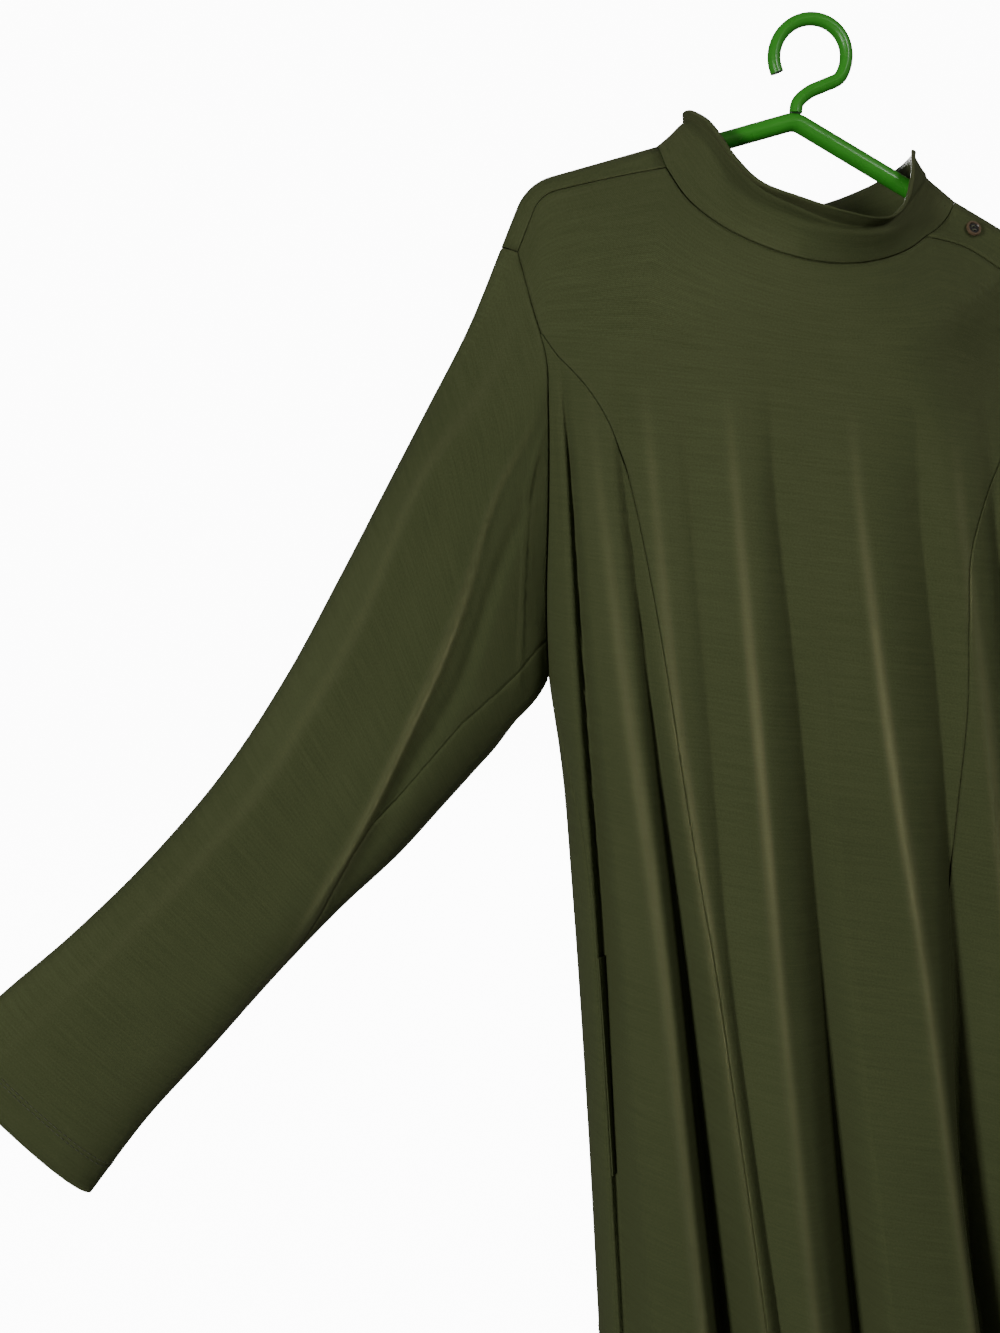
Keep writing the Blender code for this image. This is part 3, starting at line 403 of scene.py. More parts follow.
def smooth_curve(shares, values, at):
    """A smooth curve through the values at the given shares."""
    shares = np.asarray(shares, float)
    values = np.asarray(values, float)
    slopes = np.gradient(values, shares, axis=0)
    at = np.clip(np.asarray(at, float), shares[0], shares[-1])
    cell = np.clip(np.searchsorted(shares, at, side="right") - 1, 0, len(shares) - 2)
    width = shares[cell + 1] - shares[cell]
    t = (at - shares[cell]) / width
    if values.ndim > 1:
        t = t[..., None]
        width = width[..., None]
    start, end = values[cell], values[cell + 1]
    return (
        start * (1 + 2 * t) * (1 - t) ** 2
        + end * (3 - 2 * t) * t**2
        + slopes[cell] * width * t * (1 - t) ** 2
        - slopes[cell + 1] * width * t**2 * (1 - t)
    )


def run_along(points):
    """Each point's distance along the line through them."""
    return np.r_[0, np.cumsum(np.linalg.norm(np.diff(points, axis=0), axis=1))]


def along_path(points, cells):
    """Points at even distances along a smooth curve through the given points."""
    points = np.asarray(points, float)
    lengths = run_along(points)
    fine = smooth_curve(lengths, points, np.linspace(0, lengths[-1], 40 * len(points)))
    run = run_along(fine)
    even = np.linspace(0, run[-1], cells + 1)
    return np.stack([np.interp(even, run, fine[:, i]) for i in range(points.shape[1])], 1)


def from_rows(rows, at):
    """The later columns of a table, smooth between its rows, where its first column has a value."""
    table = np.array(rows)
    return smooth_curve(table[:, 0], table[:, 1:], at)


def tilted(across, drop):
    """A point of the hanger's own plane, turned to the pose it hangs in."""
    return np.array([
        across * math.cos(TILT) - drop * math.sin(TILT),
        across * math.sin(TILT) + drop * math.cos(TILT),
    ])


def ridge_at(side, along):
    """The ridge's point and its direction into the cloth, at a length from the apex."""
    turn = RIDGE_END_ANGLE - ARM_SLOPE
    arc = RIDGE_TURN_RADIUS * turn
    straight = min(along, RIDGE_STRAIGHT)
    bend = min(max(along - RIDGE_STRAIGHT, 0), arc)
    tail = max(along - RIDGE_STRAIGHT - arc, 0)
    angle = ARM_SLOPE + bend / RIDGE_TURN_RADIUS
    across = (
        straight * math.cos(ARM_SLOPE)
        + RIDGE_TURN_RADIUS * (math.sin(angle) - math.sin(ARM_SLOPE))
        + tail * math.cos(angle)
    )
    drop = (
        RIDGE_APEX_DROP
        + straight * math.sin(ARM_SLOPE)
        + RIDGE_TURN_RADIUS * (math.cos(ARM_SLOPE) - math.cos(angle))
        + tail * math.sin(angle)
    )
    inward = tilted(-side * math.sin(angle), math.cos(angle))
    return tilted(side * across, drop), inward


def ridge_length(side):
    """The length of one shoulder's ridge, from the apex to the sleeve."""
    return RIDGE_STRAIGHT + RIDGE_TURN_RADIUS * (RIDGE_END_ANGLE - ARM_SLOPE) + RIDGE_TAIL[side]


def ridge_line():
    """The whole ridge as a fine line, from the wearer's right to the left."""
    right = [ridge_at(-1, a)[0] for a in np.linspace(ridge_length(-1), 0, 70)]
    left = [ridge_at(1, a)[0] for a in np.linspace(0, ridge_length(1), 70)]
    return np.array(right + left[1:])


RIDGE = ridge_line()


def below_ridge(across, drop):
    """The shortest distance from points to the ridge."""
    points = np.stack([across, drop], -1)[..., None, :]
    start = RIDGE[:-1]
    step = RIDGE[1:] - start
    share = np.clip(((points - start) * step).sum(-1) / (step**2).sum(-1), 0, 1)
    nearest = start + share[..., None] * step
    return np.linalg.norm(points - nearest, axis=-1).min(-1)


def girth(fall):
    """Half-width, front depth and back depth of the body at a fall."""
    return from_rows(GIRTHS, fall)


def fold_lines(folds, fall):
    """Where the fold lines lie across, and how far they stand out, at a fall."""
    at = np.clip(fall, FOLD_FALLS[0], FOLD_FALLS[-1])
    lines = np.array([smooth_curve(FOLD_FALLS, fold.across, at) for fold in folds])
    outs = np.array([smooth_curve(FOLD_FALLS, fold.out, at) for fold in folds])
    return lines, outs


def is_crest(folds, number):
    """Whether a fold line stands out further than the lines beside it."""
    before, here, after = (sum(fold.out) for fold in folds[number - 1 : number + 2])
    return here > max(before, after)


def slope_between(share, width, crest, start, end):
    """The cloth between two fold lines, rounded by the crest and steep by the valley."""
    falling = start > end
    past = np.clip(np.where(falling, share, 1 - share), 0, 1) * width
    past = (np.hypot(past, crest) - crest) / (np.hypot(width, crest) - crest)
    left = 1 - past ** np.where(falling, FALLING_POWER, RISING_POWER)
    high = np.maximum(start, end)
    low = np.minimum(start, end)
    return low + (high - low) * left


def fold_out(folds, across, fall):
    """How far the folds stand out at a point: a wave through the fold lines."""
    lines, outs = fold_lines(folds, fall)
    fade = np.clip((fall - FOLD_START_FALL) / (FOLD_FALLS[0] - FOLD_START_FALL), 0, 1) ** 2
    crest = np.interp(fall, CREST_FALLS, CREST_RADII)
    out = np.zeros_like(across)
    for i in range(len(folds) - 1):
        width = lines[i + 1] - lines[i]
        share = (across - lines[i]) / width
        slope = slope_between(share, width, crest, outs[i], outs[i + 1])
        out = np.where((share >= 0) & (share <= 1), slope, out)
    for i in range(1, len(folds) - 1):
        if is_crest(folds, i):
            spread = (across - lines[i]) / (crest + CREST_BEAD_SPREAD)
            out = out + CREST_BEAD * np.exp(-(spread**2))
    out = np.where(across < lines[0], outs[0], out)
    out = np.where(across > lines[-1], outs[-1], out)
    return out * fade


def crest_share(points):
    """How near each point of the body's front lies to the crest of a fold, 0 to 1."""
    across = points[:, 0]
    fall = -points[:, 2] - SLANT * across
    lines, _ = fold_lines(FRONT_FOLDS, fall)
    share = np.zeros(len(points))
    for i in range(1, len(FRONT_FOLDS) - 1):
        if is_crest(FRONT_FOLDS, i):
            share = np.maximum(share, np.exp(-(((across - lines[i]) / CREST_WIDTH) ** 2)))
    return share * np.interp(fall, CREST_SHINE_FALLS, (0, 1)) * (points[:, 1] < 0)


def half_depth(across, fall, front):
    """How far the cloth stands in front of, or behind, the hanger's plane."""
    across, fall = np.broadcast_arrays(np.asarray(across, float), np.asarray(fall, float))
    below = below_ridge(across, fall + SLANT * across)
    size = girth(fall)
    place = np.clip(np.abs(across - MIDDLE) / size[..., 0], 0, 1)
    depth = size[..., 1] if front else size[..., 2]
    round_side = (1 - place**ACROSS_POWER) ** (1 / DEPTH_POWER)
    folds = fold_out(FRONT_FOLDS if front else BACK_FOLDS, across, fall)
    full = depth * round_side + folds * (1 - place**14)
    cap = CAP * np.sqrt(1 - (1 - np.clip(below / CAP, 0, 1)) ** 2)
    reach = np.clip(below / SPREAD, 0, 1)
    spread = reach**SPREAD_POWER * (SPREAD_POWER + 1 - SPREAD_POWER * reach)
    return cap * (1 - spread) + np.maximum(full, 0) * spread


def cloth_point(across, drop, front):
    """A point of the body's outer surface, x y z, from its place seen from the front."""
    across = np.asarray(across, float)
    drop = np.asarray(drop, float)
    depth = half_depth(across, drop - SLANT * across, front)
    return np.stack([across, -depth if front else depth, -drop], -1)


def place_of(turn):
    """Place across a face, -1 to 1, for an even turn from -1 to 1: closer steps at the sides."""
    return turn * (1 + SIDE_CROWDING - SIDE_CROWDING * np.abs(turn) ** 8)


def turn_of(across, fall):
    """The turn that gives a point's place across at a fall."""
    turns = np.linspace(-1, 1, 401)
    place = (across - MIDDLE) / girth(fall)[..., 0]
    return np.interp(place, place_of(turns), turns)


def loop_point(turn, fall):
    """A point round the body at a fall: turns -1 to 1 cross the front, 1 to 3 the back."""
    turn = (np.asarray(turn, float) + 1) % 4 - 1
    fall = np.broadcast_to(np.asarray(fall, float), turn.shape)
    front = turn <= 1
    place = place_of(np.where(front, turn, 2 - turn))
    across = MIDDLE + place * girth(fall)[..., 0]
    drop = fall + SLANT * across
    return np.where(
        front[..., None], cloth_point(across, drop, True), cloth_point(across, drop, False)
    )


def tip_and_underarm(side):
    """The sleeve's apex and the underarm, as place across and fall."""
    apex = ridge_at(side, ridge_length(side))[0]
    width = girth(np.array(UNDERARM_FALL))[0]
    return (
        np.array([apex[0], apex[1] - SLANT * apex[0]]),
        np.array([MIDDLE + side * width, UNDERARM_FALL]),
    )


def armhole_across(side, fall, front):
    """Where the armhole's edge lies across, at a fall."""
    tip, underarm = tip_and_underarm(side)
    share = np.clip((fall - tip[1]) / (underarm[1] - tip[1]), 0, 1)
    inset = from_rows(ARMHOLE_ROWS, share)[..., 0 if front else 1]
    return tip[0] + (underarm[0] - tip[0]) * share - side * inset


def princess_across(side, fall):
    """Where a princess seam lies across, at a fall."""
    return from_rows(PRINCESS_ROWS, fall)[..., 0 if side < 0 else 1]


def side_turn(side, fall):
    """The turn of the side seam, which swings a little to the front below the underarm."""
    inset = np.interp(fall, SIDE_SEAM_FALLS, SIDE_SEAM_INSET)
    width = girth(fall)[..., 0]
    return turn_of(MIDDLE + side * (width - inset), fall)


def shoulder_columns(side):
    """The columns from neck to sleeve: ridge point, inward direction and distance to the seam."""
    start, end = NECK_ALONG[side], ridge_length(side)
    stops = (start, RIDGE_STRAIGHT, end - RIDGE_TAIL[side], end)
    rows = []
    for along in np.interp(np.arange(SHOULDER_CELLS + 1), SHOULDER_STOPS, stops):
        point, inward = ridge_at(side, along)
        share = (along - start) / (end - start)
        rows.append((point, inward, float(smooth_curve(SEAM_SHARES, SEAM_DISTANCE[side], share))))
    return rows


def shoulder_point(side, number, column, reach):
    """A point of a shoulder column, bent towards the neck so that the neck seam runs round."""
    point, inward, far = column
    near_neck = (1 - number / SHOULDER_CELLS) ** 3
    bend = NECK_BEND[side] * near_neck * max((reach - CAP) / (far - CAP), 0.0) ** 2
    towards_neck = side * np.array([-inward[1], inward[0]])
    return point + inward * reach + towards_neck * bend


def seam_points(side):
    """The forward shoulder seam, as places across and drops, from neck to sleeve."""
    columns = enumerate(shoulder_columns(side))
    return np.array([shoulder_point(side, number, column, column[2]) for number, column in columns])


def behind_points(side):
    """Where the cloth leaves the hanger behind the shoulder, from neck to sleeve."""
    return np.array([point + inward * CAP for point, inward, _ in shoulder_columns(side)])


def fill_between(top, low, left, right):
    """A patch between four edges given as places across and drops."""
    rows, columns = len(left), len(top)
    down = np.linspace(0, 1, rows)[:, None, None]
    along = np.linspace(0, 1, columns)[None, :, None]
    patch = top[None] * (1 - down) + low[None] * down
    patch = patch + (left[:, None] - patch[:, :1]) * (1 - along) ** 2
    return patch + (right[:, None] - patch[:, -1:]) * along**2


def armhole_edge(side, start, front):
    """The armhole's edge from a start point down to the tip's fall, as places and drops."""
    falls = np.linspace(start[1] - SLANT * start[0], TIP_FALL, TOP_CELLS + 1)
    shift = start[0] - armhole_across(side, falls[0], front)
    fade = (1 - np.linspace(0, 1, TOP_CELLS + 1)) ** 2
    across = armhole_across(side, falls, front) + shift * fade
    return np.stack([across, falls + SLANT * across], 1)


def top_patch(front):
    """The cloth from shoulder seams and neck down to the tip's fall, for the front or the back."""
    edge_points = seam_points if front else behind_points
    right, left = edge_points(-1)[::-1], edge_points(1)
    neck_line = FRONT_NECK if front else BACK_NECK
    neck = along_path([right[-1], *neck_line, left[0]], NECK_CELLS)
    top = np.concatenate([right[:-1], neck, left[1:]])
    edges = [armhole_edge(-1, top[0], front), armhole_edge(1, top[-1], front)]
    tip_fall = np.array(TIP_FALL)
    first, last = (turn_of(edge[-1, 0], tip_fall) for edge in edges)
    across = MIDDLE + place_of(np.linspace(first, last, len(top))) * girth(tip_fall)[0]
    low = np.stack([across, TIP_FALL + SLANT * across], 1)
    patch = fill_between(top, low, *edges)
    return cloth_point(patch[..., 0], patch[..., 1], front)


def lower_falls():
    """The rows' falls from the tip to the hem, closer just below the tip."""
    shares = np.linspace(0, 1, ARMHOLE_CELLS + 1) ** TIP_CROWDING
    armhole = TIP_FALL + (UNDERARM_FALL - TIP_FALL) * shares
    return np.r_[armhole, np.linspace(UNDERARM_FALL, HEM_FALL, SKIRT_CELLS + 1)[1:]]


def front_edge_turn(side, fall):
    """The outer edge of a side panel: the armhole, then the side seam."""
    armhole = turn_of(armhole_across(side, fall, True), fall)
    return np.where(fall < UNDERARM_FALL, armhole, side_turn(side, fall))


def back_edge_turn(side, fall):
    """The outer edge of the back: the armhole, then the side seam, as a turn round the back."""
    armhole = 2 - turn_of(armhole_across(side, fall, False), fall)
    seam = side_turn(side, fall) + (4 if side < 0 else 0)
    return np.where(fall < UNDERARM_FALL, armhole, seam)


def rows_between(first, last, cells):
    """Loop points between two edges given as turns, one row for each lower fall."""
    share = np.linspace(0, 1, cells + 1)
    falls = lower_falls()
    return np.array([
        loop_point(start + (end - start) * share, fall)
        for start, end, fall in zip(first, last, falls)
    ])


def front_centre_grid():
    """The centre front's grid of points."""
    falls = lower_falls()
    first = turn_of(princess_across(-1, falls), falls)
    last = turn_of(princess_across(1, falls), falls)
    first[0] = turn_of(armhole_across(-1, falls[:1], True), falls[:1])[0]
    last[0] = turn_of(armhole_across(1, falls[:1], True), falls[:1])[0]
    lower = rows_between(first, last, 2 * SHOULDER_CELLS + NECK_CELLS)
    return np.concatenate([top_patch(True)[:-1], lower])


def front_side_grid(side):
    """A side front's grid of points, from its seam with the centre front outwards."""
    falls = lower_falls()
    seam = turn_of(princess_across(side, falls), falls)
    edge = front_edge_turn(side, falls)
    seam[0] = edge[0]
    share = np.linspace(0, 1, SIDE_CELLS + 1)
    held = side * np.minimum(np.abs(edge), HELD_TURN)
    turns = seam[:, None] + np.outer(held - seam, share) + np.outer(edge - held, share**6)
    grid = loop_point(turns, falls[:, None])
    return grid[:, ::-1] if side < 0 else grid


def pocket_grid(side):
    """The facing strip of a pocket's mouth, just outside the front of the side seam."""
    falls = np.linspace(POCKET_TOP_FALL, POCKET_END_FALL, POCKET_ROWS)
    edge = MIDDLE + place_of(side_turn(side, falls)) * girth(falls)[..., 0]
    inside = np.linspace(POCKET_INSET, POCKET_INSET + POCKET_FACING, 7)
    across = edge[:, None] - side * inside
    grid = cloth_point(across, falls[:, None] + SLANT * across, True)
    grid += outward_of(grid) * POCKET_RAISED
    return grid[:, ::-1] if side > 0 else grid


def outward_of(grid):
    """The outward direction at each point of a grid on the front."""
    along = np.gradient(grid, axis=1)
    down = np.gradient(grid, axis=0)
    outward = np.cross(along, down)
    outward /= np.linalg.norm(outward, axis=-1)[..., None]
    return np.where(outward[..., 1:2] > 0, -outward, outward)


def shoulder_wrap_grid(side):
    """The back's strip over one shoulder, from the forward seam to behind the hanger."""
    columns = []
    for number, shoulder in enumerate(shoulder_columns(side)):
        point, inward, far = shoulder
        column = []
        for share in np.linspace(0, 1, 7)[:-1]:
            reach = far + (CAP - far) * share
            column.append(cloth_point(*shoulder_point(side, number, shoulder, reach), True))
        for angle in CAP_ANGLES:
            reach = CAP * (1 - math.cos(math.radians(angle)))
            column.append(cloth_point(*(point + inward * reach), angle > 0))
        columns.append(column)
    grid = np.array(columns).transpose(1, 0, 2)
    return grid[:, ::-1] if side < 0 else grid


def back_grid():
    """The back's grid of points below the shoulders and the neck."""
    falls = lower_falls()
    cells = 2 * SHOULDER_CELLS + NECK_CELLS
    lower = rows_between(back_edge_turn(-1, falls), back_edge_turn(1, falls), cells)
    return np.concatenate([top_patch(False)[:-1], lower])


def armhole_ring(side):
    """The armhole's points, from the forward seam down the front, and up the back to it."""
    outer = 0 if side < 0 else -1
    arm_rows = ARMHOLE_CELLS + 1
    front = front_centre_grid()[: TOP_CELLS + 1, outer]
    front_low = front_side_grid(side)[1:arm_rows, outer]
    back = back_grid()[: TOP_CELLS + arm_rows - 1, outer]
    wrap = shoulder_wrap_grid(side)[1:, outer]
    return np.concatenate([front, front_low, back[::-1], wrap[-2::-1]])


def ring_angles(ring):
    """The angle of each armhole point, from the apex over the front to the underarm and back."""
    top = int(np.argmax(ring[:, 2]))
    low = int(np.argmin(ring[:, 2]))
    order = np.roll(np.arange(len(ring)), -top)
    low_at = int(np.where(order == low)[0][0])
    ordered = ring[order]
    steps = np.linalg.norm(np.roll(ordered, -1, 0) - ordered, axis=1)
    run = np.r_[0, np.cumsum(steps)]
    half, whole = run[low_at], run[-1]
    angle = np.where(
        np.arange(len(ring)) <= low_at,
        math.pi * run[:-1] / half,
        math.pi * (1 + (run[:-1] - half) / (whole - half)),
    )
    out = np.empty(len(ring))
    out[order] = angle
    return out


def rounded(wave):
    """A sine or cosine raised towards its ends, which fills out the sleeve's section."""
    return np.sign(wave) * np.abs(wave) ** SLEEVE_POWER


def sleeve_fold_at(fold, share):
    """A sleeve crease's height on the sleeve, and how far it stands out, at a share."""
    return [float(smooth_curve(SLEEVE_FOLD_SHARES, row, share)) for row in (fold.height, fold.out)]


def sleeve_fold_out(height, share, half_length):
    """How far the sleeve's front creases stand out, by height on the sleeve."""
    out = np.zeros_like(height)
    for fold in SLEEVE_FOLDS:
        line, peak = sleeve_fold_at(fold, share)
        far = np.abs(height - line) * half_length / fold.width
        out = out + peak / (1 + far**2) ** 1.5
    return out * (1 - height**8)


def sleeve_section(share, angles):
    """The sleeve's closed section at a share of its length, before it is mirrored."""
    (apex, apex_fall), (underarm, underarm_fall) = tip_and_underarm(-1)
    drops = apex_fall + SLANT * apex, underarm_fall + SLANT * underarm
    first = [apex, drops[0], underarm, drops[1], *SLEEVE_HEAD_DEPTHS]
    table = np.concatenate([[first], np.array(SLEEVE_SECTIONS)])
    row = smooth_curve(np.linspace(0, 1, len(table)), table, share)
    upper, lower = row[:2], row[2:4]
    height = rounded(-np.cos(angles))
    side = rounded(np.sin(angles))
    flat = (upper + lower) / 2 + height[:, None] * (lower - upper) / 2
    front = row[4] + sleeve_fold_out(height, share, math.hypot(*(lower - upper)) / 2)
    depth = np.where(side > 0, -side * front, -side * row[5])
    return np.stack([flat[:, 0], depth, -flat[:, 1]], 1)


def swing(points, share, pivot):
    """Turns a section of the mirrored sleeve down, more and more over its first part."""
    start = min(share / SLEEVE_BLEND, 1)
    angle = LEFT_SLEEVE_SWING * start**2 * (3 - 2 * start)
    turned = points - pivot
    cos, sin = math.cos(angle), math.sin(angle)
    across = turned[:, 0] * cos + turned[:, 2] * sin
    up = turned[:, 2] * cos - turned[:, 0] * sin
    return pivot + np.stack([across, turned[:, 1], up], 1)


def seam_angle(share):
    """The angle at which the sleeve's own seam runs."""
    height = float(np.interp(share, SLEEVE_SEAM_SHARES, SLEEVE_SEAM_HEIGHTS))
    return math.pi - math.acos(min(height ** (1 / SLEEVE_POWER), 1.0))


def sleeve_start(side):
    """The armhole's points from the sleeve's seam round, and their angles at any share."""
    ring = armhole_ring(side)
    angles = ring_angles(ring)
    start_angle = seam_angle(0.0)
    first = int(np.argmin(np.abs(angles - start_angle)))
    ring = np.roll(ring, -first, axis=0)
    angles = np.roll(angles, -first)
    off = (angles - start_angle + math.pi) % (2 * math.pi) - math.pi
    near = np.clip(1 - np.abs(off) / SEAM_SWING_REACH, 0, 1) ** 2

    def angles_at(share):
        return angles + (seam_angle(share) - start_angle) * near

    return ring, angles, angles_at


def sleeve_gleam(side):
    """How near each point of a sleeve's grid lies to the crest of one of its ridges, 0 to 1."""
    angles_at = sleeve_start(side)[2]
    table = np.array(SLEEVE_SECTIONS)
    ridges = [fold for fold in SLEEVE_FOLDS if max(fold.out) > SLEEVE_SHINE_FROM]
    rows = []
    for share in np.linspace(0, 1, SLEEVE_ROWS + 1):
        angles = angles_at(share)
        height = rounded(-np.cos(angles))
        section = smooth_curve(np.linspace(0, 1, len(table)), table[:, :4], share)
        half_length = math.hypot(*(section[2:] - section[:2])) / 2
        row = np.zeros(len(angles))
        for fold in ridges:
            line, peak = sleeve_fold_at(fold, share)
            strength = peak / max(fold.out) * (SLEEVE_SHINE_WIDTH / fold.width) ** 1.2
            far = (height - line) * half_length / SLEEVE_SHINE_WIDTH
            row = np.maximum(row, strength * np.exp(-(far**2)))
        rows.append(row * (np.sin(angles) > 0))
    gleam = np.array(rows)
    return np.concatenate([gleam, gleam[:, :1]], axis=1)


def mirrored(section):
    """A section of the right sleeve moved over to the wearer's left shoulder."""
    right, left = (ridge_at(side, ridge_length(side))[0] for side in (-1, 1))
    section[:, 0] = left[0] + right[0] - section[:, 0]
    section[:, 2] += right[1] - left[1]
    return section


def sleeve_grid(side):
    """A sleeve's grid: rows along it, columns round it, from its seam round and back to it."""
    ring, angles, angles_at = sleeve_start(side)
    start = sleeve_section(0.0, angles)
    if side > 0:
        start = mirrored(start)
    rows = [ring]
    for share in np.linspace(0, 1, SLEEVE_ROWS + 1)[1:]:
        section = sleeve_section(share, angles_at(share))
        if side > 0:
            section = swing(mirrored(section), share, ring.mean(0))
        blend = min(share / SLEEVE_BLEND, 1)
        blend = blend * blend * (3 - 2 * blend)
        rows.append(section + (ring - start) * (1 - blend))
    grid = np.array(rows)
    return np.concatenate([grid, grid[:, :1]], axis=1)


def with_allowance(grid, inward):
    """The grid with a hidden strip of cloth beyond its first row, which closes the seam behind."""
    near = grid[0] + inward * ALLOWANCE_BEND
    far = grid[0] + inward
    return np.concatenate([far[None], near[None], grid])


def neck_ring():
    """The neck seam's points, from the wearer's right shoulder over the front and round."""
    front = front_centre_grid()[0, SHOULDER_CELLS : SHOULDER_CELLS + NECK_CELLS + 1]
    left = shoulder_wrap_grid(1)[:, 0]
    back = back_grid()[0, SHOULDER_CELLS : SHOULDER_CELLS + NECK_CELLS + 1][::-1]
    right = shoulder_wrap_grid(-1)[:, -1][::-1]
    return np.concatenate([front, left[1:], back[1:], right[1:-1]])


def rim_points(shares):
    """The collar's top edge at shares of the way round."""
    table = np.array(RIM_ROWS)
    shares_round = np.r_[table[-3:, 0] - 1, table[:, 0], table[:3, 0] + 1]
    rows = np.concatenate([table[-3:], table, table[:3]])[:, 1:]
    at = smooth_curve(shares_round, rows, shares)
    return np.stack([at[:, 0], at[:, 2], -at[:, 1]], 1)


def collar_side(base, rim, away, shares):
    """The collar's outer side as a function of the height up it, with its bulge, crease and lip."""
    crease_depth, crease_height = from_rows(COLLAR_CREASES, shares).T[..., None]

    def outside(up):
        bulge = COLLAR_BULGE * math.sin(math.pi * up)
        past = (up - crease_height) / np.where(up > crease_height, *CREASE_REACH)
        crease = crease_depth * np.exp(-(past**2))
        lip = COLLAR_LIP * math.exp(-(((1 - up) / COLLAR_LIP_REACH) ** 2))
        return base * (1 - up) + rim * up - away * (bulge + crease - lip)

    return outside


def collar_grid():
    """The collar as a folded band: up the outside, over the rim and down the inside."""
    base = neck_ring()
    steps = np.linalg.norm(np.roll(base, -1, 0) - base, axis=1)
    shares = np.r_[0, np.cumsum(steps)[:-1]] / steps.sum()
    rim = rim_points(shares)
    away = base - base.mean(0)
    away[:, 2] = 0
    away /= np.linalg.norm(away, axis=1)[:, None]
    outside = collar_side(base, rim, away, shares)
    rows = [outside(up) for up in np.linspace(0, 1, COLLAR_CELLS + 1)]
    rise = rim - base
    rise /= np.linalg.norm(rise, axis=1)[:, None]
    for angle in np.radians(COLLAR_FOLD_ANGLES):
        over = rise * math.sin(angle) - away * (1 - math.cos(angle))
        rows.append(rows[COLLAR_CELLS] + over * (COLLAR_FOLD / 2))
    for up in np.linspace(1, COLLAR_INSIDE_END, COLLAR_CELLS + 1):
        rows.append(outside(up) - away * COLLAR_FOLD)
    grid = np.array(rows)
    return np.concatenate([grid, grid[:, :1]], axis=1)


# Meshes

def with_edge_steps(grid, axis, last):
    """The grid with three more rows close inside one edge, where a seam bends the cloth in."""
    rows = np.moveaxis(grid, axis, 0)
    if last:
        rows = rows[::-1]
    step = rows[1] - rows[0]
    length = np.maximum(np.linalg.norm(step, axis=-1), 1e-6)
    made = [rows[0]]
    for number, distance in enumerate(EDGE_STEPS, 1):
        share = np.minimum(distance / length, number / (len(EDGE_STEPS) + 1.5))
        made.append(rows[0] + step * share[..., None])
    rows = np.concatenate([np.array(made), rows[1:]])
    if last:
        rows = rows[::-1]
    return np.moveaxis(rows, 0, axis)


def edge_sinks(shape, sides):
    """How far each grid point is drawn in by the seams on the named sides."""
    sink = np.zeros(shape)
    for side in sides:
        axis, last = SIDES[side]
        rows = np.moveaxis(sink, axis, 0)
        if last:
            rows = rows[::-1]
        for number, depth in enumerate(EDGE_SINK):
            rows[number] = np.maximum(rows[number], depth)
    return sink


def cloth_lengths(grid):
    """Each point's distance along its row and its column, which lays the knit on the cloth."""
    across = np.linalg.norm(np.diff(grid, axis=1), axis=-1)
    along = np.linalg.norm(np.diff(grid, axis=0), axis=-1)
    run_across = np.concatenate([np.zeros((len(grid), 1)), np.cumsum(across, 1)], 1)
    run_across -= run_across[:, grid.shape[1] // 2][:, None]
    run_along = np.concatenate([[0], np.cumsum(along.mean(1))])
    run_along = np.broadcast_to(run_along[:, None], run_across.shape)
    return np.stack([run_across, run_along], -1) * MM


def grid_faces(rows, columns):
    """The four-cornered cells of a grid, as point numbers."""
    index = np.arange(rows * columns).reshape(rows, columns)
    cells = np.stack([index[:-1, :-1], index[1:, :-1], index[1:, 1:], index[:-1, 1:]], -1)
    return cells.reshape(-1, 4)


def link_mesh(name, mesh, look):
    """A new object in the scene with its material."""
    made = bpy.data.objects.new(name, mesh)
    bpy.context.scene.collection.objects.link(made)
    made.data.materials.append(look)
    return made


def apply_modifiers(made):
    """Applies every modifier of an object, as by hand."""
    bpy.ops.object.select_all(action="DESELECT")
    made.select_set(True)
    bpy.context.view_layer.objects.active = made
    for modifier in list(made.modifiers):
        bpy.ops.object.modifier_apply(modifier=modifier.name)
    made.select_set(False)


def cloth_part(grid, sides, hidden=None, gleam=None):
    """One grid with its seam rows: points, knit lengths, sinks, gleam and cells."""
    gleam = np.zeros((*grid.shape[:2], 1)) if gleam is None else gleam[..., None]
    for side, (axis, last) in SIDES.items():
        if side in sides:
            grid = with_edge_steps(grid, axis, last)
            gleam = with_edge_steps(gleam, axis, last)
    sink = edge_sinks(grid.shape[:2], sides)
    if hidden is not None:
        grid = with_allowance(grid, hidden)
        gleam = with_allowance(gleam, 0.0)
        sink = np.concatenate([np.full((2, grid.shape[1]), ALLOWANCE_SINK), sink])
    lengths = cloth_lengths(grid).reshape(-1, 2)
    cells = grid_faces(*grid.shape[:2])
    return grid.reshape(-1, 3), lengths, sink.reshape(-1), gleam.reshape(-1), cells


def merged(points, cells):
    """Merges points that lie together: the kept points, each one's number, faces and corners."""
    _, first, index = np.unique(
        np.round(points, 3), axis=0, return_index=True, return_inverse=True
    )
    index = index.reshape(-1)
    faces, corners = [], []
    for cell in cells.tolist():
        kept = [c for i, c in enumerate(cell) if index[c] != index[cell[i - 1]]]
        if len(kept) > 2:
            faces.append([int(index[c]) for c in kept])
            corners += kept
    return first, index, faces, corners


def turn_away(mesh, middle):
    """Turns a sheet's faces away from a middle line."""
    centres, normals, areas = (
        np.array([getattr(polygon, name) for polygon in mesh.polygons])
        for name in ("center", "normal", "area")
    )
    away = (centres - middle)[:, :2]
    if (away * normals[:, :2] * areas[:, None]).sum() < 0:
        mesh.flip_normals()
    mesh.update()


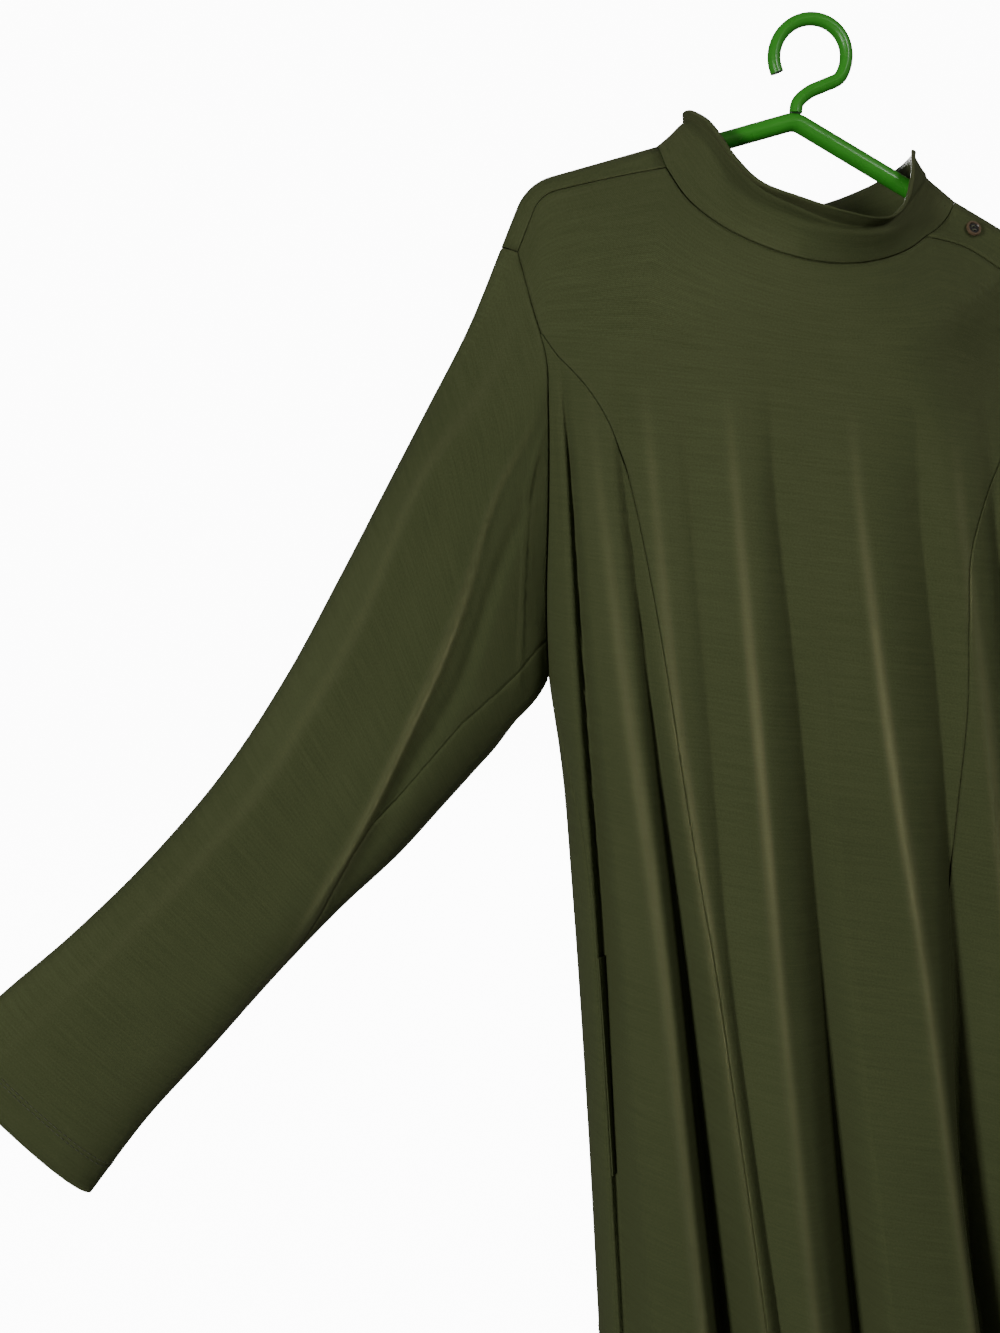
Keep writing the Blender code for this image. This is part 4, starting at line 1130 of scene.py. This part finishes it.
def draw_in(mesh, points, sink):
    """Moves each point of a sheet inwards by its sink."""
    outward = np.zeros(len(mesh.vertices) * 3, np.float32)
    mesh.vertex_normals.foreach_get("vector", outward)
    moved = points - outward.reshape(-1, 3) * sink[:, None]
    mesh.vertices.foreach_set("co", (moved * MM).astype(np.float32).ravel())
    mesh.update()


def cloth_object(name, grids, look, wall, centre):
    """A cloth piece: grids merged, drawn in at their seams, given a wall and smooth shading."""
    parts = [cloth_part(*grid) for grid in grids]
    points, lengths, sinks, gleam = (np.concatenate(rows) for rows in list(zip(*parts))[:4])
    starts = np.cumsum([0] + [len(part[0]) for part in parts])
    cells = np.concatenate([part[-1] + start for part, start in zip(parts, starts)])
    crests = np.maximum(gleam, crest_share(points))
    first, index, faces, corners = merged(points, cells)
    sink = np.full(len(first), -1.0)
    np.maximum.at(sink, index, sinks)
    points = points[first]
    mesh = bpy.data.meshes.new(name)
    mesh.from_pydata((points * MM).tolist(), [], faces)
    for layer, values in (("knit", lengths[corners]), ("fold", np.repeat(crests[corners], 2))):
        mesh.uv_layers.new(name=layer)
        mesh.uv_layers[layer].data.foreach_set("uv", values.ravel())
    turn_away(mesh, np.array(centre) * MM)
    draw_in(mesh, points, sink)
    made = link_mesh(name, mesh, look)
    solid = made.modifiers.new("wall", "SOLIDIFY")
    solid.thickness = wall
    solid.offset = -1.0
    solid.use_even_offset = False
    apply_modifiers(made)
    made.data.shade_smooth()
    return made


def stitch_points(ends, up):
    """One stitch: rings of points round a short thread that lies on the cloth."""
    up = up / np.linalg.norm(up)
    forward = ends[1] - ends[0]
    aside = np.cross(forward / max(np.linalg.norm(forward), 1e-9), up)
    points = []
    for share, size in STITCH_RINGS:
        centre = ends[0] + forward * share + up * STITCH_WIDTH * (STITCH_LIFT * size)
        for k in range(STITCH_SIDES):
            turn = 2 * math.pi * k / STITCH_SIDES
            rim = (aside * math.cos(turn) + up * math.sin(turn)) * STITCH_WIDTH / 2
            points.append(centre + rim * size)
    return points


def stitch_faces(base):
    """The faces of one stitch, whose first point has the given number."""
    rings = base + np.arange(len(STITCH_RINGS) * STITCH_SIDES).reshape(-1, STITCH_SIDES)
    rings = rings.tolist()
    faces = []
    for low, high in zip(rings, rings[1:]):
        for k in range(STITCH_SIDES):
            after = (k + 1) % STITCH_SIDES
            faces.append((low[k], low[after], high[after], high[k]))
    return [*faces, tuple(reversed(rings[0])), tuple(rings[-1])]


def stitch_row(name, path, outward, look, closed):
    """A row of machine stitches: short rounded threads end to end along a line on the cloth."""
    if closed:
        path = np.concatenate([path, path[:1]])
        outward = np.concatenate([outward, outward[:1]])
    run = run_along(path)
    count = max(int(run[-1] / (STITCH_LENGTH + STITCH_GAP)), 1)

    def along(values, at):
        return np.array([np.interp(at, run, values[:, i]) for i in range(3)])

    points, faces = [], []
    for start in np.arange(count) * run[-1] / count:
        faces += stitch_faces(len(points))
        ends = [along(path, start), along(path, start + STITCH_LENGTH)]
        points += stitch_points(ends, along(outward, start + STITCH_LENGTH / 2))
    mesh = bpy.data.meshes.new(name)
    mesh.from_pydata((np.array(points) * MM).tolist(), [], faces)
    made = link_mesh(name, mesh, look)
    outward_faces(made)
    made.data.shade_smooth()
    return made


def outward_faces(made):
    """Turns a closed mesh's faces outwards."""
    shape = bmesh.new()
    shape.from_mesh(made.data)
    bmesh.ops.recalc_face_normals(shape, faces=shape.faces)
    shape.to_mesh(made.data)
    shape.free()


def joined(name, parts):
    """Several objects joined into one of this name."""
    bpy.ops.object.select_all(action="DESELECT")
    for part in parts:
        part.select_set(True)
    bpy.context.view_layer.objects.active = parts[0]
    if len(parts) > 1:
        bpy.ops.object.join()
    made = bpy.context.view_layer.objects.active
    made.name = name
    made.data.name = name
    made.select_set(False)
    return made


# Materials

def new_material(name):
    """A new material, its node tree and the inputs of its shader."""
    made = bpy.data.materials.new(name)
    made.use_nodes = True
    return made, made.node_tree, made.node_tree.nodes["Principled BSDF"].inputs


def feed(tree, inputs, values):
    """Gives each named input its plain value, or links the socket that feeds it."""
    for key, value in values.items():
        if isinstance(value, bpy.types.NodeSocket):
            tree.links.new(value, inputs[key])
        else:
            inputs[key].default_value = value


def node(tree, kind, values, **settings):
    """The outputs of a new shader node with its settings and what feeds it."""
    made = tree.nodes.new(f"ShaderNode{kind}")
    for key, value in settings.items():
        setattr(made, key, value)
    feed(tree, made.inputs, values)
    return made.outputs


def math_node(tree, operation, *values):
    """The result of a math node fed by sockets or numbers."""
    return node(tree, "Math", dict(enumerate(values)), operation=operation)[0]


def noise(tree, vector, scale, detail=2.0):
    """A noise texture's value."""
    return node(tree, "TexNoise", {"Vector": vector, "Scale": scale, "Detail": detail})["Fac"]


def object_noise(tree, scale, detail=2.0):
    """Noise laid on an object's own coordinates."""
    return noise(tree, node(tree, "TexCoord", {})["Object"], scale, detail)


def bumped(tree, height, strength, distance):
    """A normal bumped by a height."""
    values = {"Height": height, "Strength": strength, "Distance": distance}
    return node(tree, "Bump", values)[0]


def ranged(tree, value, low, high):
    """A value from 0 to 1, spread between two others."""
    return node(tree, "MapRange", {"Value": value, "To Min": low, "To Max": high})[0]


def two_tones(tree, value, dark, light, ends=(0.0, 1.0)):
    """A colour that runs from dark to light as a value rises from one end to the other."""
    ramp = tree.nodes.new("ShaderNodeValToRGB")
    for element, position, colour in zip(ramp.color_ramp.elements, ends, (dark, light)):
        element.position = position
        element.color = (*colour, 1)
    feed(tree, ramp.inputs, {"Fac": value})
    return ramp.outputs["Color"]


def lay_out(tree):
    """Puts a tree's nodes in columns, each to the left of the nodes that it feeds."""
    column = dict.fromkeys(tree.nodes.keys(), 0)
    for _ in tree.nodes:
        for link in tree.links:
            left_of = column[link.to_node.name] + 1
            column[link.from_node.name] = max(column[link.from_node.name], left_of)
    filled = [0] * (max(column.values()) + 1)
    for made in tree.nodes:
        number = column[made.name]
        made.location = (-NODE_COLUMN * number, -NODE_ROW * filled[number])
        filled[number] += 1


def knit_relief(tree, knit, settings):
    """The height of V-shaped stitches, in columns across the cloth and rows along it."""
    lengths = node(tree, "SeparateXYZ", {0: knit})
    wale = math_node(tree, "MULTIPLY", lengths[0], 1 / settings.wale_width)
    course = math_node(tree, "MULTIPLY", lengths[1], 1 / settings.course_height)
    side = math_node(tree, "SUBTRACT", math_node(tree, "FRACT", wale), 0.5)
    slanted = math_node(tree, "ADD", course, math_node(tree, "ABSOLUTE", side))
    rows = math_node(tree, "SINE", math_node(tree, "MULTIPLY", slanted, 2 * math.pi))
    columns = math_node(tree, "COSINE", math_node(tree, "MULTIPLY", wale, 4 * math.pi))
    return math_node(tree, "SUBTRACT", math_node(tree, "MULTIPLY", rows, 0.45), columns)


def knit_shade(tree, knit, grain):
    """The knit's uneven shade: grain, streaks along the rows and broad clouds."""
    stretched = node(tree, "Mapping", {"Vector": knit, "Scale": (25.0, 700.0, 1.0)})[0]
    streaks = noise(tree, stretched, 1.0)
    clouds = object_noise(tree, 5.0)
    shade = math_node(tree, "MULTIPLY", grain, 0.45)
    for layer, share in ((streaks, 0.30), (clouds, 0.25)):
        shade = math_node(tree, "ADD", shade, math_node(tree, "MULTIPLY", layer, share))
    return shade


def knit_material(name, settings):
    """Fine jersey: V-shaped stitches, a heathered colour and a soft brownish gleam on crests."""
    made, tree, shader = new_material(name)
    knit = node(tree, "UVMap", {}, uv_map="knit")["UV"]
    grain = noise(tree, knit, 900.0, 3.0)
    olive = np.array(settings.olive[:3])
    tones = (olive * 0.80, olive * np.array((1.20, 1.18, 1.22)))
    fold = node(tree, "UVMap", {}, uv_map="fold")["UV"]
    crest = node(tree, "SeparateXYZ", {0: fold})[0]
    smoother = math_node(tree, "MULTIPLY", crest, 0.12)
    gleam = math_node(tree, "MULTIPLY", crest, settings.crest_gleam)
    feed(tree, shader, {
        "Base Color": two_tones(tree, knit_shade(tree, knit, grain), *tones, (0.36, 0.64)),
        "Normal": bumped(tree, knit_relief(tree, knit, settings), 0.5, settings.stitch_depth),
        "Roughness": math_node(tree, "SUBTRACT", ranged(tree, grain, 0.46, 0.52), smoother),
        "Specular IOR Level": math_node(tree, "ADD", gleam, 0.16),
        "Specular Tint": (1.0, 0.92, 0.48, 1.0),
        "Sheen Weight": 0.06,
        "Sheen Roughness": 0.35,
        "Sheen Tint": (0.75, 0.66, 0.36, 1.0),
    })
    lay_out(tree)
    return made


def plastic_material(name, settings):
    """Glossy moulded plastic with a faint uneven surface."""
    made, tree, shader = new_material(name)
    waves = object_noise(tree, 60.0, 3.0)
    green = np.array(settings.green[:3])
    dull = settings.plastic_roughness
    feed(tree, shader, {
        "Base Color": two_tones(tree, waves, green * 0.88, green * 1.12),
        "Normal": bumped(tree, waves, 0.15, 0.0004),
        "Roughness": ranged(tree, waves, dull * 0.8, dull * 1.25),
        "Specular IOR Level": 0.5,
    })
    lay_out(tree)
    return made


def button_material(name, settings, centre, outward):
    """A dark horn button with a bronze rim, told apart by the distance from its middle."""
    made, tree, shader = new_material(name)
    turned = outward.to_track_quat("Z", "Y").to_euler()
    place = node(tree, "TexCoord", {})["Object"]
    values = {"Vector": place, "Location": tuple(centre), "Rotation": turned}
    centred = node(tree, "Mapping", values, vector_type="TEXTURE")[0]
    flat = node(tree, "SeparateXYZ", {0: centred})
    across = math_node(tree, "MULTIPLY", flat[0], flat[0])
    up = math_node(tree, "MULTIPLY", flat[1], flat[1])
    radius = math_node(tree, "SQRT", math_node(tree, "ADD", across, up))
    share = math_node(tree, "MULTIPLY", radius, 1 / (BUTTON_RADIUS * MM))
    feed(tree, shader, {
        "Base Color": two_tones(tree, share, HORN, settings.bronze[:3], (0.60, 0.74)),
        "Normal": bumped(tree, object_noise(tree, 700.0), 0.2, 0.0002),
        "Roughness": 0.32,
    })
    lay_out(tree)
    return made


def thread_material(name, colour):
    """Sewing thread: twisted strands on Object coordinates."""
    made, tree, shader = new_material(name)
    strands = object_noise(tree, 1500.0)
    base = np.array(colour[:3])
    feed(tree, shader, {
        "Base Color": two_tones(tree, strands, base * 0.8, base * 1.2),
        "Normal": bumped(tree, strands, 0.4, 0.0001),
        "Roughness": 0.6,
        "Sheen Weight": 0.2,
    })
    lay_out(tree)
    return made


def backdrop_material(name, glow):
    """The plain pale surround."""
    made, tree, shader = new_material(name)
    feed(tree, shader, {
        "Base Color": (0.8, 0.8, 0.8, 1.0),
        "Roughness": 0.9,
        "Emission Color": (1.0, 1.0, 1.0, 1.0),
        "Emission Strength": glow,
    })
    return made


# What a user would change

def colour_setting(name, description, default):
    """A colour that a user can change."""
    return bpy.props.FloatVectorProperty(
        name=name, description=description, subtype="COLOR", default=default
    )


def number_setting(name, description, default, **more):
    """A number that a user can change."""
    return bpy.props.FloatProperty(name=name, description=description, default=default, **more)


class TunicSettings(bpy.types.PropertyGroup):
    """Colours and knit sizes."""

    olive: colour_setting("Olive", "Colour of the knit", (0.060, 0.072, 0.030))
    green: colour_setting("Hanger green", "Colour of the hanger", (0.035, 0.24, 0.018))
    bronze: colour_setting("Button rim", "Colour of the button's rim", (0.10, 0.065, 0.035))
    thread: colour_setting("Thread", "Colour of the stitches", (0.075, 0.080, 0.042))
    wale_width: number_setting("Wale width", "Width of a column of stitches", 0.0011, unit="LENGTH")
    course_height: number_setting("Course height", "Height of a row of stitches", 0.0008, unit="LENGTH")
    stitch_depth: number_setting("Stitch depth", "How far the stitches stand out", 0.00012, unit="LENGTH")
    crest_gleam: number_setting("Crest gleam", "How much more the stretched crests shine", 1.7, min=0.0)
    cloth_thickness: number_setting("Cloth thickness", "Thickness of the knit", 0.0009, unit="LENGTH")
    plastic_roughness: number_setting("Plastic roughness", "How dull the hanger is", 0.28, min=0.0, max=1.0)


class StudioSettings(bpy.types.PropertyGroup):
    """Light and camera."""

    key_power: number_setting("Key light", "Power of the light at the left", 146.0, unit="POWER")
    fill_power: number_setting("Fill light", "Power of the light on the shoulder", 8.0, unit="POWER")
    edge_power: number_setting("Edge light", "Power of the gleam on the crests", 24.0, unit="POWER")
    back_power: number_setting("Back light", "Power of the light behind", 80.0, unit="POWER")
    ambient: number_setting("Surrounding light", "Light from all round", 0.09, min=0.0)
    backdrop_glow: number_setting("Backdrop glow", "Brightness of the surround", 12.0, min=0.0)
    lens: number_setting("Lens", "The camera's focal length", CAMERA_LENS, subtype="DISTANCE_CAMERA")


# Pieces

def new_piece(made, slot, *nodes):
    """Rides a finished piece on the body, and hides the solids it stands for."""
    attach(made, "root")
    if nodes:
        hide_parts(*nodes)
    return made


def poly_curve(points, closed):
    """A new curve object through points in millimetres."""
    bpy.ops.curve.primitive_bezier_curve_add()
    made = bpy.context.object
    curve = made.data
    curve.dimensions = "3D"
    curve.splines.clear()
    spline = curve.splines.new("POLY")
    spline.points.add(len(points) - 1)
    for target, point in zip(spline.points, points):
        target.co = (*(value * MM for value in point), 1.0)
    spline.use_cyclic_u = closed
    curve.use_fill_caps = not closed
    return made


def curve_mesh(made, name, look, place=Matrix()):
    """The curve as a smooth mesh, moved to its place, with its faces outwards."""
    bpy.ops.object.select_all(action="DESELECT")
    made.select_set(True)
    bpy.context.view_layer.objects.active = made
    bpy.ops.object.convert(target="MESH")
    made = bpy.context.object
    made.data.transform(place)
    made.name = name
    made.data.name = name
    made.data.materials.clear()
    made.data.materials.append(look)
    made.select_set(False)
    outward_faces(made)
    made.data.shade_smooth()
    return made


def tube_along(name, points, radius, closed, look):
    """A moulded tube along a line, with the fine ridge where its mould's halves met."""
    circle = []
    for k in range(TUBE_SIDES):
        angle = 2 * math.pi * k / TUBE_SIDES
        out = radius + (PARTING_RIDGE if k % (TUBE_SIDES // 2) == 0 else 0.0)
        circle.append((out * math.cos(angle), out * math.sin(angle), 0.0))
    profile = poly_curve(circle, True)
    made = poly_curve([(across, 0.0, -drop) for across, drop in points], closed)
    made.data.bevel_mode = "OBJECT"
    made.data.bevel_object = profile
    made = curve_mesh(made, name, look)
    bpy.data.objects.remove(profile)
    return made


def hanger_half():
    """Half of the hanger frame's centre line: apex, arm, corner and half of the bar."""
    half = []
    for angle in np.linspace(0, ARM_SLOPE, APEX_POINTS)[:-1]:
        drop = APEX_RADIUS * (1 / math.cos(ARM_SLOPE) - math.cos(angle))
        half.append((APEX_RADIUS * math.sin(angle), ARM_APEX_DROP + drop))
    for along in np.linspace(APEX_RADIUS * math.tan(ARM_SLOPE), ARM_LENGTH, ARM_POINTS):
        half.append((along * math.cos(ARM_SLOPE), ARM_APEX_DROP + along * math.sin(ARM_SLOPE)))
    end_across, end_drop = half[-1]
    for angle in np.linspace(ARM_SLOPE, math.pi, CORNER_POINTS)[1:]:
        half.append((
            end_across + CORNER_RADIUS * (math.sin(angle) - math.sin(ARM_SLOPE)),
            end_drop + CORNER_RADIUS * (math.cos(ARM_SLOPE) - math.cos(angle)),
        ))
    for share in BAR_SHARES:
        half.append((half[-1][0] * (1 - share), half[-1][1]))
    return half


def hanger_route():
    """The hanger frame's centre line as a closed loop in its own plane."""
    half = hanger_half()
    return half + [(-across, drop) for across, drop in reversed(half)][:-1]


def hook_route():
    """The hook's centre line: a stem from the arms, then a round bend over the rail."""
    inner = HOOK_BEND - HOOK_RADIUS
    foot = tilted(0, HOOK_FOOT_DROP)
    lead = [foot, tilted(0, HOOK_FOOT_DROP - HOOK_STEM_STEP), *HOOK_STEM_TOP]
    bend = []
    for angle in np.radians(HOOK_ANGLES):
        bend.append((HOOK_BEND * math.cos(angle), inner - HOOK_BEND * math.sin(angle)))
    return along_path([*lead, *bend], HOOK_CELLS)


def button_frame():
    """Where the button sits, and the cloth's outward direction there."""
    step = 3.0
    here = cloth_point(BUTTON_ACROSS, BUTTON_DROP, True)
    right = cloth_point(BUTTON_ACROSS + step, BUTTON_DROP, True) - here
    down = cloth_point(BUTTON_ACROSS, BUTTON_DROP + step, True) - here
    outward = np.cross(down, right)
    return here, outward / np.linalg.norm(outward)


def button_strand(row, lane, look):
    """One strand of sewing thread that rises through one hole and dives into the next."""
    half = BUTTON_HOLE_SPACING / 2
    sideways = row * half + lane * 2 * BUTTON_THREAD_RADIUS
    points = [
        (share * half, sideways, BUTTON_DISH + BUTTON_SEAT + up) for share, up in STRAND_PATH
    ]
    made = poly_curve(points, False)
    made.data.bevel_depth = BUTTON_THREAD_RADIUS * MM
    made.data.bevel_resolution = 3
    here, outward = button_frame()
    turned = Vector(outward).to_track_quat("Z", "Y").to_matrix().to_4x4()
    place = Matrix.Translation(Vector(here * MM)) @ turned
    return curve_mesh(made, f"button_strand_{row}_{lane}", look, place)


def ring_at(grid, place):
    """A line of points between two rows of a grid."""
    row = min(int(place), len(grid) - 2)
    part = place - row
    return grid[row] * (1 - part) + grid[row + 1] * part


def outward_along(grid, place, closed):
    """A line between two rows of a grid, and the cloth's outward directions along it."""
    row = min(int(place), len(grid) - 2)
    line = ring_at(grid, place)
    down = grid[row + 1] - grid[row]
    if closed:
        line = line[:-1]
        down = down[:-1]
        along = np.roll(line, -1, 0) - np.roll(line, 1, 0)
        away = line - line.mean(0)
    else:
        along = np.gradient(line, axis=0)
        away = (line - np.array(BODY_CENTRE)) * (1.0, 1.0, 0.0)
    outward = np.cross(down, along)
    outward /= np.maximum(np.linalg.norm(outward, axis=1), 1e-9)[:, None]
    if (outward * away).sum() < 0:
        outward = -outward
    return line, outward


def twin_stitches(name, grid, distances, closed, look):
    """The two rows of a twin-needle hem, at distances in from a grid's last row."""
    parts = []
    for number, distance in enumerate(distances):
        line, outward = outward_along(grid, place_at_distance(grid, distance), closed)
        lifted = line + outward * STITCH_RAISED
        parts.append(stitch_row(f"{name}_{number}", lifted, outward, look, closed))
    return joined(name, parts)


def place_at_distance(grid, distance):
    """The row place that lies a distance in from the grid's last row."""
    steps = np.linalg.norm(np.diff(grid, axis=0), axis=-1).mean(1)
    run = np.cumsum(steps[::-1])
    before = np.searchsorted(run, distance)
    inside = distance - (run[before - 1] if before else 0.0)
    return len(grid) - 1 - before - inside / steps[::-1][before]


def settings_of(context):
    """The tunic's settings."""
    return context.scene.tunic


LOOKS = {}


def knit_look(context):
    """The olive knit, made once."""
    if "knit" not in LOOKS:
        LOOKS["knit"] = knit_material("olive_jersey", settings_of(context))
    return LOOKS["knit"]


def thread_look(context):
    """The olive sewing thread, made once."""
    if "thread" not in LOOKS:
        LOOKS["thread"] = thread_material("olive_thread", settings_of(context).thread)
    return LOOKS["thread"]


def knit_piece(context, name, grids, centre, *nodes):
    """A cloth piece of the olive knit, riding on the body in place of its solid."""
    wall = settings_of(context).cloth_thickness
    made = cloth_object(name, grids, knit_look(context), wall, centre)
    return new_piece(made, "olive_knit", *nodes)


class TUNIC_OT_front(bpy.types.Operator):
    """Makes the three front panels between the princess and side seams"""

    bl_idname = "tunic.front"
    bl_label = "Front panels"

    def execute(self, context):
        grids = [(front_centre_grid(), ("top", "first", "last"))]
        centre = knit_piece(context, "front_centre_knit", grids, BODY_CENTRE, "front_centre")
        for side, where in WHERE.items():
            name = f"front_side_{where}"
            grids = [(front_side_grid(side), ("first", "last"))]
            panel = knit_piece(context, f"{name}_knit", grids, BODY_CENTRE, name)
        return {"FINISHED"}


class TUNIC_OT_back(bpy.types.Operator):
    """Makes the back, which wraps over the shoulders to the forward shoulder seams"""

    bl_idname = "tunic.back"
    bl_label = "Back panel"

    def execute(self, context):
        grids = [
            (back_grid(), ("first", "last")),
            (shoulder_wrap_grid(1), ()),
            (shoulder_wrap_grid(-1), ()),
        ]
        back = knit_piece(context, "back_knit", grids, BODY_CENTRE, "back")
        return {"FINISHED"}


class TUNIC_OT_sleeves(bpy.types.Operator):
    """Makes the two long sleeves and the twin-needle stitching round their cuffs"""

    bl_idname = "tunic.sleeves"
    bl_label = "Sleeves"

    def execute(self, context):
        for side, where in WHERE.items():
            name = f"sleeve_{where}"
            grid = sleeve_grid(side)
            hidden = np.array([-side * ALLOWANCE, 0.0, 0.0])
            grids = [(grid, ("top", "first", "last"), hidden, sleeve_gleam(side))]
            middle = grid.reshape(-1, 3).mean(0)
            sleeve = knit_piece(context, f"{name}_knit", grids, middle, name)
            look = thread_look(context)
            stitches = twin_stitches(f"cuff_stitches_{where}", grid, CUFF_STITCHES, True, look)
            new_piece(stitches, "olive_knit")
        return {"FINISHED"}


class TUNIC_OT_collar(bpy.types.Operator):
    """Makes the doubled mock neck with its rolled rim and the crease under it"""

    bl_idname = "tunic.collar"
    bl_label = "Collar"

    def execute(self, context):
        grid = collar_grid()
        middle = grid[:COLLAR_CELLS].reshape(-1, 3).mean(0)
        hidden = np.array([0.0, 0.0, -ALLOWANCE])
        collar = knit_piece(context, "collar_knit", [(grid, ("top",), hidden)], middle, "collar")
        return {"FINISHED"}


class TUNIC_OT_pockets(bpy.types.Operator):
    """Lays the narrow facing of a pocket's mouth along each side seam"""

    bl_idname = "tunic.pockets"
    bl_label = "Pocket mouths"

    def execute(self, context):
        for side, where in WHERE.items():
            grids = [(pocket_grid(side), tuple(SIDES))]
            knit_piece(context, f"pocket_mouth_{where}", grids, BODY_CENTRE)
        return {"FINISHED"}


class TUNIC_OT_hem_stitches(bpy.types.Operator):
    """Sews the twin-needle hem along the panels' lower edges"""

    bl_idname = "tunic.hem_stitches"
    bl_label = "Hem stitches"

    def execute(self, context):
        grids = {
            "front_centre": front_centre_grid(),
            "front_side_right": front_side_grid(-1),
            "front_side_left": front_side_grid(1),
            "back": back_grid(),
        }
        look = thread_look(context)
        parts = [
            twin_stitches(f"hem_{name}", grid, HEM_STITCHES, False, look)
            for name, grid in grids.items()
        ]
        new_piece(joined("hem_stitches", parts), "olive_knit")
        return {"FINISHED"}


class TUNIC_OT_hanger(bpy.types.Operator):
    """Makes the green moulded hanger with its hook"""

    bl_idname = "tunic.hanger"
    bl_label = "Hanger"

    def execute(self, context):
        look = plastic_material("green_plastic_moulded", settings_of(context))
        route = [tilted(*point) for point in hanger_route()]
        tubes = [
            tube_along("hanger_frame_tube", route, TUBE_RADIUS, True, look),
            tube_along("hanger_hook_tube", hook_route(), HOOK_RADIUS, False, look),
        ]
        new_piece(joined("hanger", tubes), "green_plastic", "hanger_frame", "hanger_hook")
        return {"FINISHED"}


class TUNIC_OT_button(bpy.types.Operator):
    """Finishes the shoulder button and sews it on"""

    bl_idname = "tunic.button"
    bl_label = "Shoulder button"

    def execute(self, context):
        here, outward = button_frame()
        look = button_material("horn_button", settings_of(context), here * MM, Vector(outward))
        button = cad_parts["button"]
        button.data.materials.clear()
        button.data.materials.append(look)
        strands = [
            button_strand(row, lane, thread_look(context)) for row in (-1, 1) for lane in (-1, 0, 1)
        ]
        new_piece(joined("button_thread", strands), "horn_plastic")
        return {"FINISHED"}


class TUNIC_OT_stage(bpy.types.Operator):
    """Sets the pale floor, the surround, the lights and the camera"""

    bl_idname = "tunic.stage"
    bl_label = "Stage"

    def execute(self, context):
        settings = context.scene.tunic_studio
        bpy.ops.object.select_all(action="DESELECT")
        bpy.ops.mesh.primitive_circle_add(
            vertices=64, radius=FLOOR_RADIUS, fill_type="NGON", location=(0, 0, FLOOR_HEIGHT)
        )
        floor = self.backdrop("floor", settings.backdrop_glow)
        bpy.ops.object.select_all(action="DESELECT")
        bpy.ops.mesh.primitive_uv_sphere_add(segments=48, ring_count=24, radius=DOME_RADIUS)
        dome = self.backdrop("surround", settings.backdrop_glow)
        world = bpy.data.worlds.new("studio")
        world.use_nodes = True
        background = world.node_tree.nodes["Background"]
        background.inputs["Color"].default_value = (1, 1, 1, 1)
        background.inputs["Strength"].default_value = settings.ambient
        context.scene.world = world
        for lamp in LAMPS:
            self.add_light(lamp, getattr(settings, f"{lamp.name}_power"))
        self.add_camera(settings.lens)
        return {"FINISHED"}

    def backdrop(self, name, glow):
        """Names the mesh just added and gives it a glow that only the camera sees."""
        made = bpy.context.object
        made.name = name
        made.data.materials.append(backdrop_material(f"{name}_white", glow))
        made.visible_diffuse = False
        made.visible_glossy = False
        made.visible_transmission = False
        made.visible_shadow = False
        return made

    def add_light(self, lamp, power):
        """A square soft light that faces its target."""
        data = bpy.data.lights.new(lamp.name, "AREA")
        data.shape = "SQUARE"
        data.size = lamp.size
        data.energy = power
        light = bpy.data.objects.new(lamp.name, data)
        bpy.context.scene.collection.objects.link(light)
        light.location = lamp.place
        direction = Vector(lamp.target) - Vector(lamp.place)
        light.rotation_euler = direction.to_track_quat("-Z", "Y").to_euler()
        light.visible_diffuse = lamp.diffuse
        light.visible_glossy = lamp.glossy

    def add_camera(self, lens):
        """The photograph's camera."""
        data = bpy.data.cameras.new("camera")
        data.sensor_fit = "VERTICAL"
        data.sensor_height = 36.0
        data.lens = lens
        data.clip_end = CAMERA_REACH
        camera = bpy.data.objects.new("camera", data)
        bpy.context.scene.collection.objects.link(camera)
        backward = tuple(-value for value in CAMERA_FORWARD)
        turned = Matrix((CAMERA_RIGHT, CAMERA_UP, backward)).transposed()
        camera.matrix_world = Matrix.Translation(Vector(CAMERA_PLACE)) @ turned.to_4x4()
        bpy.context.scene.camera = camera


OPERATORS = (
    TUNIC_OT_hanger,
    TUNIC_OT_front,
    TUNIC_OT_back,
    TUNIC_OT_sleeves,
    TUNIC_OT_collar,
    TUNIC_OT_pockets,
    TUNIC_OT_hem_stitches,
    TUNIC_OT_button,
    TUNIC_OT_stage,
)


class TUNIC_PT_panel(bpy.types.Panel):
    """Lists the tunic's steps and settings"""

    bl_label = "Tunic on a hanger"
    bl_idname = "TUNIC_PT_panel"
    bl_space_type = "VIEW_3D"
    bl_region_type = "UI"
    bl_category = "Tunic"

    def draw(self, context):
        for group in (context.scene.tunic, context.scene.tunic_studio):
            for name in group.bl_rna.properties.keys():
                if name not in ("rna_type", "name"):
                    self.layout.prop(group, name)
        for operator in OPERATORS:
            self.layout.operator(operator.bl_idname)


CLASSES = (TunicSettings, StudioSettings, *OPERATORS, TUNIC_PT_panel)


def register():
    for listed in CLASSES:
        bpy.utils.register_class(listed)
    bpy.types.Scene.tunic = bpy.props.PointerProperty(type=TunicSettings)
    bpy.types.Scene.tunic_studio = bpy.props.PointerProperty(type=StudioSettings)


def unregister():
    del bpy.types.Scene.tunic_studio
    del bpy.types.Scene.tunic
    for listed in reversed(CLASSES):
        bpy.utils.unregister_class(listed)


def main():
    """Makes the whole scene."""
    register()
    for operator in OPERATORS:
        kind, name = operator.bl_idname.split(".")
        getattr(getattr(bpy.ops, kind), name)()


if __name__ == "__main__":
    main()
